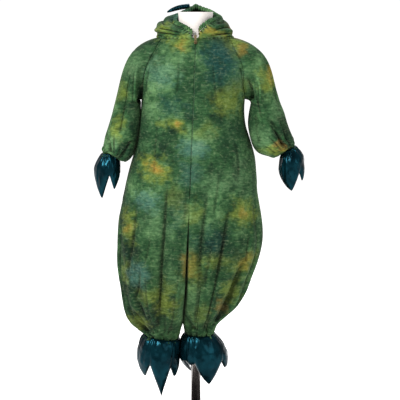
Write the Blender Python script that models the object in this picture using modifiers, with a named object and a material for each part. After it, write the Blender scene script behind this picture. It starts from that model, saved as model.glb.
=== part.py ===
"""A child's dinosaur costume with a hood, worn by a limbless dress form on a pole stand.

Left and right are as seen from the front. Sizes are in millimetres and become metres in the meshes.
X runs to the right, Y to the back and Z up. The origin is under the middle of the stand's base.
"""

import math

import bmesh
import bpy
import numpy as np
from mathutils import Matrix, Vector

MM = 0.001

# Cloth and seams
CLOTH = 1.6
SEAM_GAP = 0.4
TUCK = 0.14
ZIP_OPENING = 5.0
ZIP_END = 735.0

# How finely the cloth is divided
TORSO_COLUMNS = 8
LEG_COLUMNS = 2 * TORSO_COLUMNS
INNER_COLUMNS = 6
YOKE_TOP_COLUMNS = 4
SLEEVE_HEAD_ROWS = 6

# Gathers round one ankle, one wrist and the hood's face edge
ANKLE_GATHERS = 11
WRIST_GATHERS = 8
HOOD_GATHERS = 22
ANKLE_FRILL = 11.0
WRIST_FRILL = 11.0
ANKLE_FLARE = 1.05
WRIST_FLARE = 1.13
SLEEVE_LIFT = {-1: 1.3, 1: 1.5}

# How far the inner sides of the legs bow to the left between front and back, so that they lie on
# each other without a straight gap, and how far each stays from the line between them
INSEAM_BOW = 3.6
INSEAM_GAP = 0.2

# Dress form and stand
NECK_RADIUS = 44.0
NECK_TOP = 1100.0
FORM_BOTTOM = 652.0
POLE_RADIUS = 12.75
BASE_RADIUS = 140.0
BASE_THICKNESS = 10.0

# The zip: its tapes, its slider with an arched bail, and the pull that stands up from it
TAPE_WIDTH = 10.0
TAPE_THICKNESS = 1.0
TAPE_GAP = 0.6
SLIDER_HEIGHT = 1024.0
SLIDER_SIZE = (7.4, 3.4, 10.0)
SLIDER_LIFT = 0.5
BAIL_REACH = 3.5
PULL_LENGTH = 17.0
PULL_WIDTH = 5.4
PULL_LEAN = 8.0

GREEN_CLOTH = ((0.09, 0.17, 0.07), 0.9, 0.0)
TEAL_CLOTH = ((0.01, 0.06, 0.09), 0.35, 0.4)
ZIP_CLOTH = ((0.06, 0.13, 0.07), 0.8, 0.0)
BRASS = ((0.3, 0.24, 0.15), 0.4, 1.0)
FORM_JERSEY = ((0.75, 0.71, 0.67), 0.7, 0.0)
STEEL = ((0.09, 0.085, 0.085), 0.3, 1.0)


class Table:
    """A short table of sizes with named columns. Its first column is the key and falls from row to row."""

    def __init__(self, columns, *rows):
        self.columns = columns.split()
        self.values = np.array(rows, float)

    def __len__(self):
        return len(self.values)

    def row(self, i):
        return dict(zip(self.columns, self.values[i]))

    def at(self, key):
        """The row at this key, on a smooth curve through the table's rows."""
        keys = self.values[:, 0]
        order = np.argsort(keys)
        keys, values = keys[order], self.values[order]
        slopes = np.gradient(values, keys, axis=0)
        i = int(np.clip(np.searchsorted(keys, key) - 1, 0, len(keys) - 2))
        span = keys[i + 1] - keys[i]
        t = (key - keys[i]) / span
        start, end = 2 * t**3 - 3 * t**2 + 1, 3 * t**2 - 2 * t**3
        leave, arrive = (t**3 - 2 * t**2 + t) * span, (t**3 - t**2) * span
        mixed = start * values[i] + end * values[i + 1] + leave * slopes[i] + arrive * slopes[i + 1]
        return dict(zip(self.columns, mixed))


# Rows of the body from the neckline to the armpit. The raglan share is how far the front reaches
# towards the side before the sleeve takes over, and the rise lifts the row at the back.
YOKE = Table(
    "z mid left right front back raglan rise",
    (1034, 0, -97, 97, 62, 58, 0.88, 8),
    (1008, 0, -124, 122, 84, 76, 0.81, 5),
    (980, -1, -143, 140, 97, 86, 0.81, 2),
    (953, -2, -146, 140, 103, 92, 0.86, 0),
    (925, -3, -142, 133, 106, 94, 0.92, 0),
    (900, -3, -138, 128, 107, 95, 0.97, 0),
    (880, -4, -138, 126, 108, 96, 1.00, 0),
)

# Rows of the body from the armpit to the top of the crotch seam
TORSO = Table(
    "z mid left right front back",
    (880, -4, -138, 126, 108, 96),
    (846, -6, -141, 125, 109, 98),
    (813, -7, -148, 129, 110, 99),
    (774, -9, -153, 141, 113, 102),
    (ZIP_END, -10.5, -161, 151, 117, 106),
    (688, -12.5, -174, 156, 121, 110),
    (640, -14.5, -185, 160, 125, 114),
)

# Rows of the two legs, from the top of the crotch seam to the ankle's elastic. The inner share is
# how far the leg's widest line lies from its inner side, and the fold is how deep the gathers are.
CROTCH = 577.0
LEFT_LEG = Table(
    "z inner outer front back share fold tilt",
    (640, -14.5, -185, 125, 114, 0.00, 0.0, 0),
    (612, -15.6, -192, 126, 115, 0.00, 0.5, 0),
    (590, -16.4, -196.8, 127, 116, 0.01, 0.7, 0),
    (CROTCH, -16.9, -199.5, 128, 117, 0.02, 0.8, 0),
    (540, -18.4, -203, 130, 119, 0.07, 1.2, 0),
    (490, -20.3, -204, 129, 118, 0.14, 2.0, 0),
    (440, -22.4, -201, 124, 114, 0.24, 3.0, 0),
    (390, -23.95, -193, 114, 105, 0.32, 4.2, 0),
    (350, -27.2, -188, 102, 95, 0.38, 5.0, 1),
    (320, -30.4, -183, 87, 82, 0.42, 5.4, 3),
    (297, -36.2, -176, 70, 66, 0.46, 5.0, 5),
    (277, -44, -164, 54, 51, 0.50, 4.0, 7),
    (257, -49, -135, 40, 38, 0.50, 2.8, 8),
)
RIGHT_LEG = Table(
    "z inner outer front back share fold tilt",
    (640, -14.5, 160, 125, 114, 0.00, 0.0, 0),
    (612, -15.6, 165, 126, 115, 0.00, 0.5, 0),
    (590, -16.4, 168.6, 127, 116, 0.01, 0.7, 0),
    (CROTCH, -16.9, 170.5, 128, 117, 0.02, 0.8, 0),
    (540, -18.4, 174, 130, 119, 0.07, 1.2, 0),
    (500, -20.0, 172, 129, 118, 0.12, 1.8, 0),
    (455, -21.8, 160, 123, 113, 0.20, 2.6, 0),
    (415, -22.8, 143, 115, 106, 0.27, 3.6, 0),
    (375, -24.6, 126, 104, 96, 0.33, 4.4, 0),
    (340, -28.2, 104, 88, 82, 0.39, 4.8, 0),
    (312, -31.2, 79, 68, 64, 0.44, 4.6, 0),
    (289, -31.3, 57, 49, 46, 0.50, 3.6, 0),
    (265, -26, 48, 37, 36, 0.50, 2.4, 0),
)

# The long folds of the body: where a fold starts and ends, how far its middle is bowed sideways,
# and its half width and depth. A fold with a negative depth stands out as a ridge.
FRONT_FOLDS = Table(
    "x_top z_top x_bottom z_bottom bow width depth",
    (-68, 690, -97, 272, 0, 12, 6.5),
    (-157, 585, -182, 415, 0, 13, 4.5),
    (-186, 366, -118, 268, 6, 12, 8.0),
    (-166, 405, -120, 285, -3, 12, -5.0),
    (-100, 400, -97, 264, 0, 9, -3.5),
    (-60, 420, -70, 270, 4, 12, 4.0),
    (-120, 470, -108, 300, -4, 14, -4.0),
    (36, 700, -5, 272, -6, 12, 6.0),
    (96, 690, 19, 262, 6, 13, 6.5),
    (128, 500, 56, 296, 7, 11, 9.0),
    (60, 470, 24, 300, 3, 13, -4.5),
    (112, 400, 62, 312, 5, 10, -5.0),
    (-36, 345, -2, 276, 0, 10, 5.0),
)
BACK_FOLDS = Table(
    "x_top z_top x_bottom z_bottom bow width depth",
    (-142, 600, -128, 290, -7, 14, 6.5),
    (-92, 560, -101, 268, 5, 12, 7.5),
    (-56, 450, -76, 280, 3, 12, 4.5),
    (-170, 430, -140, 300, -6, 13, 5.5),
    (-70, 640, -74, 470, 4, 15, 3.5),
    (30, 610, 2, 285, -4, 13, 6.0),
    (78, 560, 22, 270, 8, 12, 8.0),
    (118, 480, 44, 300, 9, 13, 6.0),
    (140, 600, 122, 430, 5, 15, 4.0),
    (-30, 820, -44, 640, 6, 20, 3.0),
    (52, 850, 60, 660, -8, 20, 3.5),
)

# Rings of the sleeves below the armpit: the centre, how far the outer end is turned up, and the
# ring's half width, half depth and gathers
LEFT_SLEEVE = Table(
    "step x y z tilt half_width half_depth fold",
    (0, -174.5, -14, 868, 2, 31, 49, 0.4),
    (1, -178, -20, 842, 2, 34, 50, 0.6),
    (2, -184, -25, 813, 2, 36.5, 51, 0.9),
    (3, -191, -28, 785, 5, 38.5, 51, 1.3),
    (4, -195, -28, 766, 12, 38.5, 49, 1.7),
    (5, -199, -26, 752, 22, 38.5, 45, 1.9),
    (6, -206, -23, 743, 32, 35, 40, 1.8),
    (7, -212, -21, 742, 33, 31, 32.5, 1.4),
    (8, -219, -20, 749, 0, 19, 22.5, 1.0),
)
RIGHT_SLEEVE = Table(
    "step x y z tilt half_width half_depth fold",
    (0, 178, -14, 868, 2, 38.5, 50, 0.4),
    (1, 180.5, -20, 845, 2, 45.5, 52, 0.6),
    (2, 183, -25, 820, 2, 50, 54, 0.9),
    (3, 189.5, -28, 794, 6, 52, 55, 1.3),
    (4, 196.5, -28, 774.5, 15, 51.5, 53, 1.7),
    (5, 204.5, -26, 764.5, 24, 48, 48, 1.9),
    (6, 218, -23, 758, 33.5, 38.5, 41, 1.8),
    (7, 228, -21, 754, 41, 30.5, 33, 1.6),
    (8, 236, -20, 760, 23, 17.5, 22, 1.4),
)
LEFT_SLEEVE_FOLDS = Table(
    "x_top z_top x_bottom z_bottom bow width depth",
    (-116, 985, -139, 868, -5, 9, 8.0),
    (-140, 1000, -158, 872, 0, 10, -5.0),
    (-170, 905, -192, 800, 0, 13, 4.0),
    (-196, 722, -158, 786, 0, 9, 7.0),
    (-226, 800, -214, 748, 0, 9, 4.0),
)
RIGHT_SLEEVE_FOLDS = Table(
    "x_top z_top x_bottom z_bottom bow width depth",
    (146, 985, 168, 820, 0, 12, -5.5),
    (124, 950, 142, 878, 6, 9, 7.5),
    (176, 850, 224, 762, 6, 10, 8.0),
    (156, 880, 164, 770, -5, 11, 4.5),
    (205, 870, 236, 775, 3, 12, 3.5),
)
SLEEVE_BACK_FOLDS = Table(
    "x_top z_top x_bottom z_bottom bow width depth",
    (-150, 950, -176, 800, 4, 13, 6.0),
    (-200, 850, -214, 752, -3, 11, 5.5),
    (-176, 790, -206, 744, 3, 9, 4.5),
    (150, 960, 180, 810, -4, 13, 6.5),
    (190, 830, 226, 764, 4, 11, 6.0),
    (222, 830, 238, 772, 0, 9, 4.0),
)

# The hood at angles round the neck, from the back to the front: where its face edge lies, how far
# the cloth bulges out and up above the neckline and again below the face edge, and how the edge's
# casing leans up from level
LEFT_HOOD = Table(
    "angle edge_x edge_y edge_z low_out low_up high_out high_up lean",
    (180, 0, 72, 1121, 56, -12, 60, 2, -56),
    (165, 17, 68, 1110, 50, -8, 58, 1, -42),
    (150, 33, 62, 1101, 44, 0, 54, 0, -28),
    (120, 54, 35, 1087, 22, 16, 46, 2, 5),
    (90, 58.5, -2, 1071, 8, 20, 40, 3, 30),
    (70, 50, -30, 1067, 5, 18, 30, 0, 42),
    (45, 33, -51, 1060, 4, 13, 18, -1, 52),
    (20, 16, -61, 1050, 1, 6, 1, -4, 64),
    (8, 7, -64, 1042.5, 0, 2.5, 0, -2.5, 64),
)
RIGHT_HOOD = Table(
    "angle edge_x edge_y edge_z low_out low_up high_out high_up lean",
    (180, 0, 72, 1121, 56, -12, 60, 2, -56),
    (165, 17, 68, 1113, 46, -6, 54, 2, -42),
    (150, 33, 62, 1107, 34, 2, 44, 0, -28),
    (120, 54, 35, 1092, 10, 14, 28, -2, 5),
    (90, 58.5, 0, 1078, 3, 16, 18, -6, 30),
    (70, 51, -27, 1077, 3, 15, 16, -4, 42),
    (45, 37, -46, 1071, 3, 12, 12, -4, 54),
    (20, 15, -61, 1056, 1, 8, 1, -6, 66),
    (8, 7.5, -64, 1047, 0, 4, 0, -4, 66),
)
HOOD_ROWS = (0.0, 0.18, 0.38, 0.58, 0.79, 1.0)
HOOD_FRONT = 8.0
HOOD_CASING_WIDTH = 12.0
HOOD_CASING_THICKNESS = 6.0
HOOD_EDGE_GAP = 0.8

# The stuffed claws that hang from a cuff. Angles run from the front and are negative to the left.
# A claw's lean slides its tip to the right, and its back slides it to the back.
LEFT_FOOT_CLAWS = Table(
    "angle half_angle length lean back",
    (-57, 30, 104, 2, 6),
    (6, 33, 152, 2, 0),
    (64, 25, 96, 8, 4),
)
RIGHT_FOOT_CLAWS = Table(
    "angle half_angle length lean back",
    (-88, 44, 108, 17, 28),
    (-32, 30, 70, 0, 0),
    (20, 40, 125, 6, 0),
    (80, 26, 88, 14, 6),
)
LEFT_HAND_CLAWS = Table(
    "angle half_angle length lean back",
    (-44, 44, 108, 0, 0),
    (40, 39, 85, -2, 0),
)
RIGHT_HAND_CLAWS = Table(
    "angle half_angle length lean back",
    (-24, 78, 99, 3, 0),
    (66, 40, 87, 2, 0),
)
FOOT_SIZES = {
    "wrap": 122.0,
    "columns": 24,
    "rows": 7,
    "swell_front": 44.0,
    "swell_depth": 56.0,
    "stuffing": 15.0,
    "shoulder": 0.7,
    "valley": 0.3,
    "tuck": 12.0,
    "drop": 1.5,
}
HAND_SIZES = {
    "wrap": 118.0,
    "columns": 18,
    "rows": 7,
    "swell_front": 28.0,
    "swell_depth": 30.0,
    "stuffing": 11.0,
    "shoulder": 0.3,
    "valley": 0.8,
    "tuck": 5.0,
    "drop": 1.4,
}
COVERS = (
    ("foot_cover_left", "ankle_casing_left", LEFT_FOOT_CLAWS, FOOT_SIZES, 64.0, 54.0, 43.0),
    ("foot_cover_right", "ankle_casing_right", RIGHT_FOOT_CLAWS, FOOT_SIZES, 56.0, 43.0, 67.0),
    ("hand_cover_left", "wrist_casing_left", LEFT_HAND_CLAWS, HAND_SIZES, 49.0, 34.0, 21.0),
    ("hand_cover_right", "wrist_casing_right", RIGHT_HAND_CLAWS, HAND_SIZES, 46.0, 28.0, 27.0),
)

def shaped(value, power):
    """The value raised to a power with its sign kept, as a superellipse needs."""
    return np.sign(value) * np.abs(value) ** power


def ease(value):
    """A smooth step from 0 to 1."""
    value = np.clip(value, 0.0, 1.0)
    return value * value * (3 - 2 * value)


def folded(point, outward, table):
    """The point moved in or out by the folds of a table."""
    x, _, z = point
    depth = 0.0
    for i in range(len(table)):
        fold = table.row(i)
        share = (fold["z_top"] - z) / (fold["z_top"] - fold["z_bottom"])
        if 0 < share < 1:
            middle = fold["x_top"] + (fold["x_bottom"] - fold["x_top"]) * share
            middle += fold["bow"] * math.sin(math.pi * share)
            strength = ease(share / 0.4) * ease((1 - share) / 0.12)
            depth += fold["depth"] * strength * math.exp(-(((x - middle) / fold["width"]) ** 2))
    # At a piece's two sides the front's and the back's folds fade away.
    return point - outward * depth * min(abs(outward[1]) * 1.6, 1.0)


def body_point(row, side, angle):
    """A point of the body's outline in one row. The angle runs from the front, 0, to the back, 180."""
    a = math.radians(angle)
    reach = abs((row["right"] if side > 0 else row["left"]) - row["mid"])
    depth = row["front"] if angle <= 90 else row["back"]
    across, along = shaped(math.sin(a), 2 / 2.3), shaped(math.cos(a), 2 / 2.3)
    z = row["z"] + row.get("rise", 0) * max(0.0, -math.cos(a))
    point = np.array((row["mid"] + side * reach * across, -depth * along, z))
    outward = np.array((side * across / reach, -along / depth, 0))
    outward = outward / np.linalg.norm(outward)
    return folded(point, outward, FRONT_FOLDS if angle <= 90 else BACK_FOLDS)


def raglan_angle(row):
    """The angle at which the raglan seam crosses a row of the yoke."""
    return math.degrees(math.asin(min(1.0, row["raglan"] ** (2.3 / 2))))


def gather(turn, count):
    """How far a gathered edge stands out at this share of a turn. No two gathers are alike."""
    return math.cos(2 * math.pi * count * turn) * (0.8 + 0.35 * math.sin(2 * math.pi * 3 * turn + 1))


def leg_angle(column, row):
    """The angle of a column of the leg. Towards the ankle the columns spread evenly."""
    share = ease((CROTCH - row["z"]) / (CROTCH - 260))
    split = 90 + (180 * INNER_COLUMNS / (INNER_COLUMNS + LEG_COLUMNS) - 90) * share
    if column < INNER_COLUMNS and row["z"] > CROTCH:
        # Above the lowest point of the crotch seam the columns divide the flat inside by length.
        start = math.sin(math.radians(crotch_angle(row))) ** (2 / 2.6)
        along = start + (1 - start) * (column / INNER_COLUMNS) ** 1.5
        return math.degrees(math.asin(min(along, 1.0) ** (2.6 / 2)))
    if column < INNER_COLUMNS:
        return split * column / INNER_COLUMNS
    return split + (180 - split) * (column - INNER_COLUMNS) / LEG_COLUMNS


def crotch_angle(row):
    """The angle at which a leg's row meets the crotch seam, a half ellipse in side view."""
    height = np.clip((row["z"] - CROTCH) / (TORSO.values[-1][0] - CROTCH), 0, 1)
    share = math.sqrt(1 - (1 - height) ** 2)
    return math.degrees(math.asin(share ** (2.6 / 2)))


def leg_point(row, side, column, back):
    """A point of one leg's outline in one row. The columns run from the inseam to the outer side."""
    a = math.radians(leg_angle(column, row))
    width = abs(row["outer"] - row["inner"])
    widest = row["inner"] + side * width * row["share"]
    inner_half = math.cos(a) > 0
    reach = width * row["share"] if inner_half else width * (1 - row["share"])
    depth = row["back"] if back else row["front"]
    power = 2 / (2.6 if inner_half and row["share"] < 0.5 else 2.3)
    # Where the legs lie on each other the gathers are pressed flat.
    free = 1 - max(0.0, math.cos(a)) ** 0.5 * np.clip((row["z"] - 268) / 40, 0, 1)
    turn = column / (INNER_COLUMNS + LEG_COLUMNS) / 2
    out = row["fold"] * gather(1 - turn if back else turn, ANKLE_GATHERS) * free
    across, along = shaped(math.cos(a), power), shaped(math.sin(a), power)
    x = widest - side * (reach + out * (reach > 0)) * across
    y = (depth + out) * along * (1 if back else -1)
    if inner_half:
        apart = INSEAM_GAP * np.clip((TORSO.values[-1][0] - row["z"]) / 28, 0, 1)
        bow = INSEAM_BOW * np.clip((row["z"] - 290) / 60, 0, 1)
        x += side * apart - bow * (1 - along**2)
    z = row["z"] + math.tan(math.radians(row["tilt"])) * side * (x - widest)
    outward = np.array((-side * across / max(reach, 20), y / depth**2, 0))
    outward = outward / np.linalg.norm(outward)
    return folded(np.array((x, y, z)), outward, BACK_FOLDS if back else FRONT_FOLDS)


def half_panel(side, back):
    """The strips of one body panel, front or back, from the neckline to the ankle. Each strip is a
    list of rows, and a row may have twice the columns of the row above it."""
    leg = RIGHT_LEG if side > 0 else LEFT_LEG

    def body_row(row, seam_angle):
        spread = np.linspace(0, seam_angle, TORSO_COLUMNS + 1)
        return [body_point(row, side, 180 - a if back else a) for a in spread]

    def leg_row(row, first, last):
        return [leg_point(row, side, column, back) for column in range(first, last + 1)]

    main = [body_row(YOKE.row(i), raglan_angle(YOKE.row(i))) for i in range(len(YOKE))]
    main += [body_row(TORSO.row(i), 90) for i in range(1, len(TORSO))]
    last = INNER_COLUMNS + LEG_COLUMNS
    main += [leg_row(leg.row(i), INNER_COLUMNS, last) for i in range(1, len(leg))]
    inner = [leg_row(leg.row(i), 0, INNER_COLUMNS) for i in range(len(leg))]
    return [main, inner]


def sleeve_ring(row, side, columns):
    """A closed ring of a sleeve, from its inner side by the front, the outer side and the back."""
    tilt = math.radians(row["tilt"])
    centre = np.array((row["x"], row["y"], row["z"]))
    outward = np.array((side * math.cos(tilt), 0, math.sin(tilt)))
    points = []
    for turn in np.arange(columns) / columns:
        a = 2 * math.pi * turn
        # The side that lies against the body keeps its gathers flat.
        free = 1 - max(0.0, math.cos(a)) * np.clip((row["z"] - 755) / 10, 0, 1)
        out = row["fold"] * gather(turn, WRIST_GATHERS) * free
        along = (row["half_width"] + out) * shaped(math.cos(a), 2 / 2.2)
        across = (row["half_depth"] + out) * shaped(math.sin(a), 2 / 2.2)
        point = centre - outward * along - np.array((0, across, 0))
        points.append(sleeve_folded(point, centre, side, 1.0))
    return np.array(points)


def sleeve_folded(point, centre, side, strength):
    """A point of a sleeve moved by the sleeve's folds."""
    front = RIGHT_SLEEVE_FOLDS if side > 0 else LEFT_SLEEVE_FOLDS
    outward = (point - centre) * (1, 1, 0)
    outward = outward / max(np.linalg.norm(outward), 1.0)
    table = front if point[1] < centre[1] else SLEEVE_BACK_FOLDS
    return point + (folded(point, outward, table) - point) * strength


def raglan_loop(side):
    """The seam that a sleeve is sewn to: up the front from the armpit, over the neckline, down the back."""
    rows = [YOKE.row(i) for i in range(len(YOKE))]
    front = [body_point(row, side, raglan_angle(row)) for row in reversed(rows)]
    top = np.linspace(raglan_angle(rows[0]), 180 - raglan_angle(rows[0]), YOKE_TOP_COLUMNS + 1)
    over = [body_point(rows[0], side, a) for a in top[1:-1]]
    back = [body_point(row, side, 180 - raglan_angle(row)) for row in rows[:-1]]
    return np.array(front + over + back)


def sleeve_rows(side):
    """The rows of one sleeve, from the raglan seam to the wrist's elastic."""
    table = RIGHT_SLEEVE if side > 0 else LEFT_SLEEVE
    start = raglan_loop(side)
    columns = len(start)
    first, second = (sleeve_ring(table.row(i), side, columns) for i in (0, 1))
    reach = np.linalg.norm(first - start, axis=1)[:, None]
    leave = np.tile((side, 0, -0.2), (columns, 1)) * reach * SLEEVE_LIFT[side]
    arrive = second - first
    arrive = arrive / np.linalg.norm(arrive, axis=1)[:, None] * reach * 1.25
    rows = []
    for t in np.linspace(0, 1, SLEEVE_HEAD_ROWS):
        row = (
            (2 * t**3 - 3 * t**2 + 1) * start
            + (3 * t**2 - 2 * t**3) * first
            + (t**3 - 2 * t**2 + t) * leave
            + (t**3 - t**2) * arrive
        )
        if 0 < t < 1:
            centre = row.mean(axis=0)
            row = np.array([sleeve_folded(p, centre, side, ease(t * 2.5)) for p in row])
        rows.append(row)
    rows.append(second)
    rows += [sleeve_ring(table.row(i), side, 2 * columns) for i in range(2, len(table))]
    return rows


def casing_rows(last_row, centre, axis, reach, flare):
    """An elastic casing below a gathered edge: pulled in at the elastic, with a frill under it."""
    rows = [last_row]
    for along, scale in ((0.45, 0.93), (1.0, flare)):
        rows.append(centre + (last_row - centre) * scale + axis * reach * along)
    return rows


def hood_column(angle, side):
    """The neckline point, the two bulges and the face edge of the hood at one angle."""
    start = body_point(YOKE.row(0), side, angle)
    if angle == 0:
        return start, start, start, start
    key = (RIGHT_HOOD if side > 0 else LEFT_HOOD).at(max(angle, HOOD_FRONT))
    a = math.radians(angle)
    outward = np.array((side * math.sin(a), -math.cos(a), 0))
    up = np.array((0, 0, 1))
    edge = np.array((side * key["edge_x"], key["edge_y"], key["edge_z"]))
    if angle < HOOD_FRONT:
        front, share = start, angle / HOOD_FRONT
        edge = front + (edge - front) * share
    low = start + outward * key["low_out"] + up * key["low_up"]
    high = edge + outward * key["high_out"] + up * key["high_up"]
    return start, low, high, edge


def neckline_angles():
    """The angles of the neckline's points, the same on the fronts, sleeves, backs and hood."""
    seam = raglan_angle(YOKE.row(0))
    front = np.linspace(0, seam, TORSO_COLUMNS + 1)
    over = np.linspace(seam, 180 - seam, YOKE_TOP_COLUMNS + 1)
    return np.concatenate([front, over[1:-1], 180 - front[::-1]])


def hood_point(angle, side, t):
    """A point of the hood, at a share of the way from the neckline to the face edge."""
    weights = ((1 - t) ** 3, 3 * t * (1 - t) ** 2, 3 * t**2 * (1 - t), t**3)
    return sum(w * p for w, p in zip(weights, hood_column(angle, side)))


def hood_rows(side):
    """The rows of one half of the hood, each column a cubic curve from the neckline to the face edge."""
    return [[hood_point(angle, side, t) for angle in neckline_angles()] for t in HOOD_ROWS]


class Cloth:
    """An open sheet of cloth made of strips of rows. Points that coincide are one point."""

    def __init__(self, name, strips, closed=False, gap=None):
        self.name, self.gap = name, gap or (lambda point: SEAM_GAP / 2)
        self.points, self.index, self.faces = [], {}, []
        for rows in strips:
            rows = [[self.add(p) for p in row] for row in rows]
            for upper, lower in zip(rows, rows[1:]):
                self.join(upper, lower, closed)

    def add(self, point):
        key = tuple(np.round(np.asarray(point) * 100).astype(int))
        if key not in self.index:
            self.index[key] = len(self.points)
            self.points.append(np.asarray(point, float))
        return self.index[key]

    def join(self, upper, lower, closed):
        """Faces between two rows. A lower row with twice the columns gives five-sided faces."""
        step = 2 if len(lower) > len(upper) + 1 else 1
        count = len(upper) if closed else len(upper) - 1
        for j in range(count):
            across = (j + 1) % len(upper)
            below = [lower[(step * j + k) % len(lower)] for k in range(step + 1)]
            face = [upper[j], *below, upper[across]]
            face = [v for k, v in enumerate(face) if v != face[k - 1]]
            if len(set(face)) > 2:
                self.faces.append(face)

    def mesh(self):
        """The sheet as a bmesh whose normals point out of the garment."""
        bm = bmesh.new()
        verts = [bm.verts.new(p * MM) for p in self.points]
        for face in self.faces:
            bm.faces.new([verts[v] for v in face])
        # Both faces of the wall get the same triangles, so that they stay apart where the cloth twists.
        bmesh.ops.triangulate(bm, faces=bm.faces[:], quad_method="SHORT_EDGE")
        bmesh.ops.recalc_face_normals(bm, faces=bm.faces)
        bm.normal_update()
        return bm


def outward_sheets(sheets):
    """Each sheet's bmesh, turned so that its normals point away from the garment's inside."""
    meshes = []
    for sheet in sheets:
        bm = sheet.mesh()
        towards = sum(
            face.calc_area() * face.normal.dot(face.calc_center_median() - sheet.inside)
            for face in bm.faces
        )
        if towards < 0:
            bmesh.ops.reverse_faces(bm, faces=bm.faces)
            bm.normal_update()
        meshes.append(bm)
    return meshes


def point_key(vert):
    """The point of a vertex, rounded, so that points on both sides of a seam are found together."""
    return tuple(round(c / MM * 100) for c in vert.co)


def normals_at_points(meshes):
    """For each point the normals of its faces and their angles there, over all these meshes."""
    found = {}
    for bm in meshes:
        for face in bm.faces:
            for loop in face.loops:
                found.setdefault(point_key(loop.vert), []).append((face.normal.copy(), loop.calc_angle()))
    return found


def mean_normal(faces):
    """The mean of these faces' normals, weighted by their angles. It is short where they differ."""
    return sum((normal * angle for normal, angle in faces), Vector()) / sum(angle for _, angle in faces)


def wall(sheet, bm, shared, thickness=CLOTH):
    """A sheet given its thickness inwards, with its edges drawn back to leave the seam's gap.

    At a seam all walls are mitred alike. Where a seam lies in a deep groove, the walls on one side of
    the groove are mitred alike and tucked in a little, and those on the other side count no more."""
    bm.verts.ensure_lookup_table()
    own = normals_at_points([bm])
    drawn = [Vector() for _ in bm.verts]
    rim = [edge for edge in bm.edges if edge.is_boundary]
    for edge in rim:
        face = edge.link_faces[0]
        along = (edge.verts[1].co - edge.verts[0].co).normalized()
        inwards = face.normal.cross(along)
        if inwards.dot(face.calc_center_median() - edge.verts[0].co) < 0:
            inwards.negate()
        for vert in edge.verts:
            drawn[vert.index] += inwards
    outer, inner = [], []
    for vert in bm.verts:
        mine = mean_normal(own[point_key(vert)]).normalized()
        alike = [face for face in shared[point_key(vert)] if face[0].dot(mine) > -0.3]
        normal = mean_normal(alike)
        point, pull = vert.co.copy(), drawn[vert.index]
        if pull.length > 0:
            pull = pull * 2 / max(pull.length_squared, 0.3)
            point += pull * sheet.gap(vert.co / MM) * MM
            if len(alike) < len(shared[point_key(vert)]):
                point -= mine * TUCK * MM
        outer.append(point)
        inner.append(point - normal.normalized() * thickness / max(normal.length, 0.7) * MM)
    solid = bmesh.new()
    top = [solid.verts.new(p) for p in outer]
    under = [solid.verts.new(p) for p in inner]
    for face in bm.faces:
        ring = [vert.index for vert in face.verts]
        solid.faces.new([top[i] for i in ring])
        solid.faces.new([under[i] for i in reversed(ring)])
    for edge in rim:
        a, b = (vert.index for vert in edge.verts)
        solid.faces.new([top[a], top[b], under[b], under[a]])
    bmesh.ops.recalc_face_normals(solid, faces=solid.faces)
    bm.free()
    return solid


def principled(name, look):
    """A material with a Principled BSDF of this colour, roughness and metallic value."""
    colour, roughness, metallic = look
    material = bpy.data.materials.new(name)
    material.use_nodes = True
    shader = material.node_tree.nodes["Principled BSDF"]
    shader.inputs["Base Color"].default_value = (*colour, 1)
    shader.inputs["Roughness"].default_value = roughness
    shader.inputs["Metallic"].default_value = metallic
    material.diffuse_color = (*colour, 1)
    return material


def place(name, bm, look, collection):
    """A bmesh as a named object, shaded smooth between its sharp edges."""
    mesh = bpy.data.meshes.new(name)
    bm.to_mesh(mesh)
    bm.free()
    mesh.shade_smooth()
    mesh.set_sharp_from_angle(angle=math.radians(50))
    mesh.materials.append(principled(name, look))
    obj = bpy.data.objects.new(name, mesh)
    collection.objects.link(obj)
    return obj


def zip_gap(point):
    """The gap at a point of the front's edge: wide along the zip and a seam's gap elsewhere."""
    x, y, z = point
    on_front_edge = y < -50 and abs(x - centre_line(z)) < 2
    if not on_front_edge or z < ZIP_END - 1:
        return SEAM_GAP / 2
    return ZIP_OPENING / 2 if z > ZIP_END + 1 else ZIP_OPENING / 4


def centre_line(z):
    """The X of the zip and the front seam at this height."""
    table = YOKE if z > TORSO.values[0][0] else TORSO
    return table.at(z)["mid"]


def garment_sheets():
    """Every sheet of cloth that meets another at a seam."""
    sheets = []
    for side, word in ((-1, "left"), (1, "right")):
        for back in (False, True):
            name = f"{'back' if back else 'front'}_{word}"
            sheet = Cloth(name, half_panel(side, back), gap=zip_gap)
            sheet.inside = Vector((side * 60, 0, 560)) * MM
            sheets.append(sheet)
        rows = sleeve_rows(side)
        sleeve = Cloth(f"sleeve_{word}", [rows], closed=True)
        sleeve.inside = Vector((side * 180, 0, 840)) * MM
        sheets.append(sleeve)
        hood = Cloth(f"hood_{word}", [hood_rows(side)], gap=zip_gap)
        hood.inside = Vector((0, 0, 1060)) * MM
        sheets.append(hood)
        sheets.append(wrist_casing(word, rows[-1]))
        sheets.append(ankle_casing(word, side))
    return sheets


def cuff_frame(points):
    """The centre and the outward axis of a planar cuff, which points down and out of it."""
    centre = points.mean(axis=0)
    across = points[0] - centre
    forward = points[len(points) // 4] - centre
    axis = np.cross(across, forward)
    axis = axis / np.linalg.norm(axis)
    return centre, axis if axis[2] < 0 else -axis


def casing(name, ring, centre, axis, reach, flare):
    """The elastic casing and frill round one cuff."""
    rows = casing_rows(ring, centre, axis, reach, flare)
    sheet = Cloth(name, [rows], closed=True)
    sheet.inside = Vector(centre) * MM
    sheet.hem, sheet.axis, sheet.hem_ring = centre + axis * reach, axis, rows[-1]
    return sheet


def wrist_casing(word, last_row):
    """The casing at one wrist."""
    centre, axis = cuff_frame(last_row)
    return casing(f"wrist_casing_{word}", last_row, centre, axis, WRIST_FRILL, WRIST_FLARE)


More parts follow.
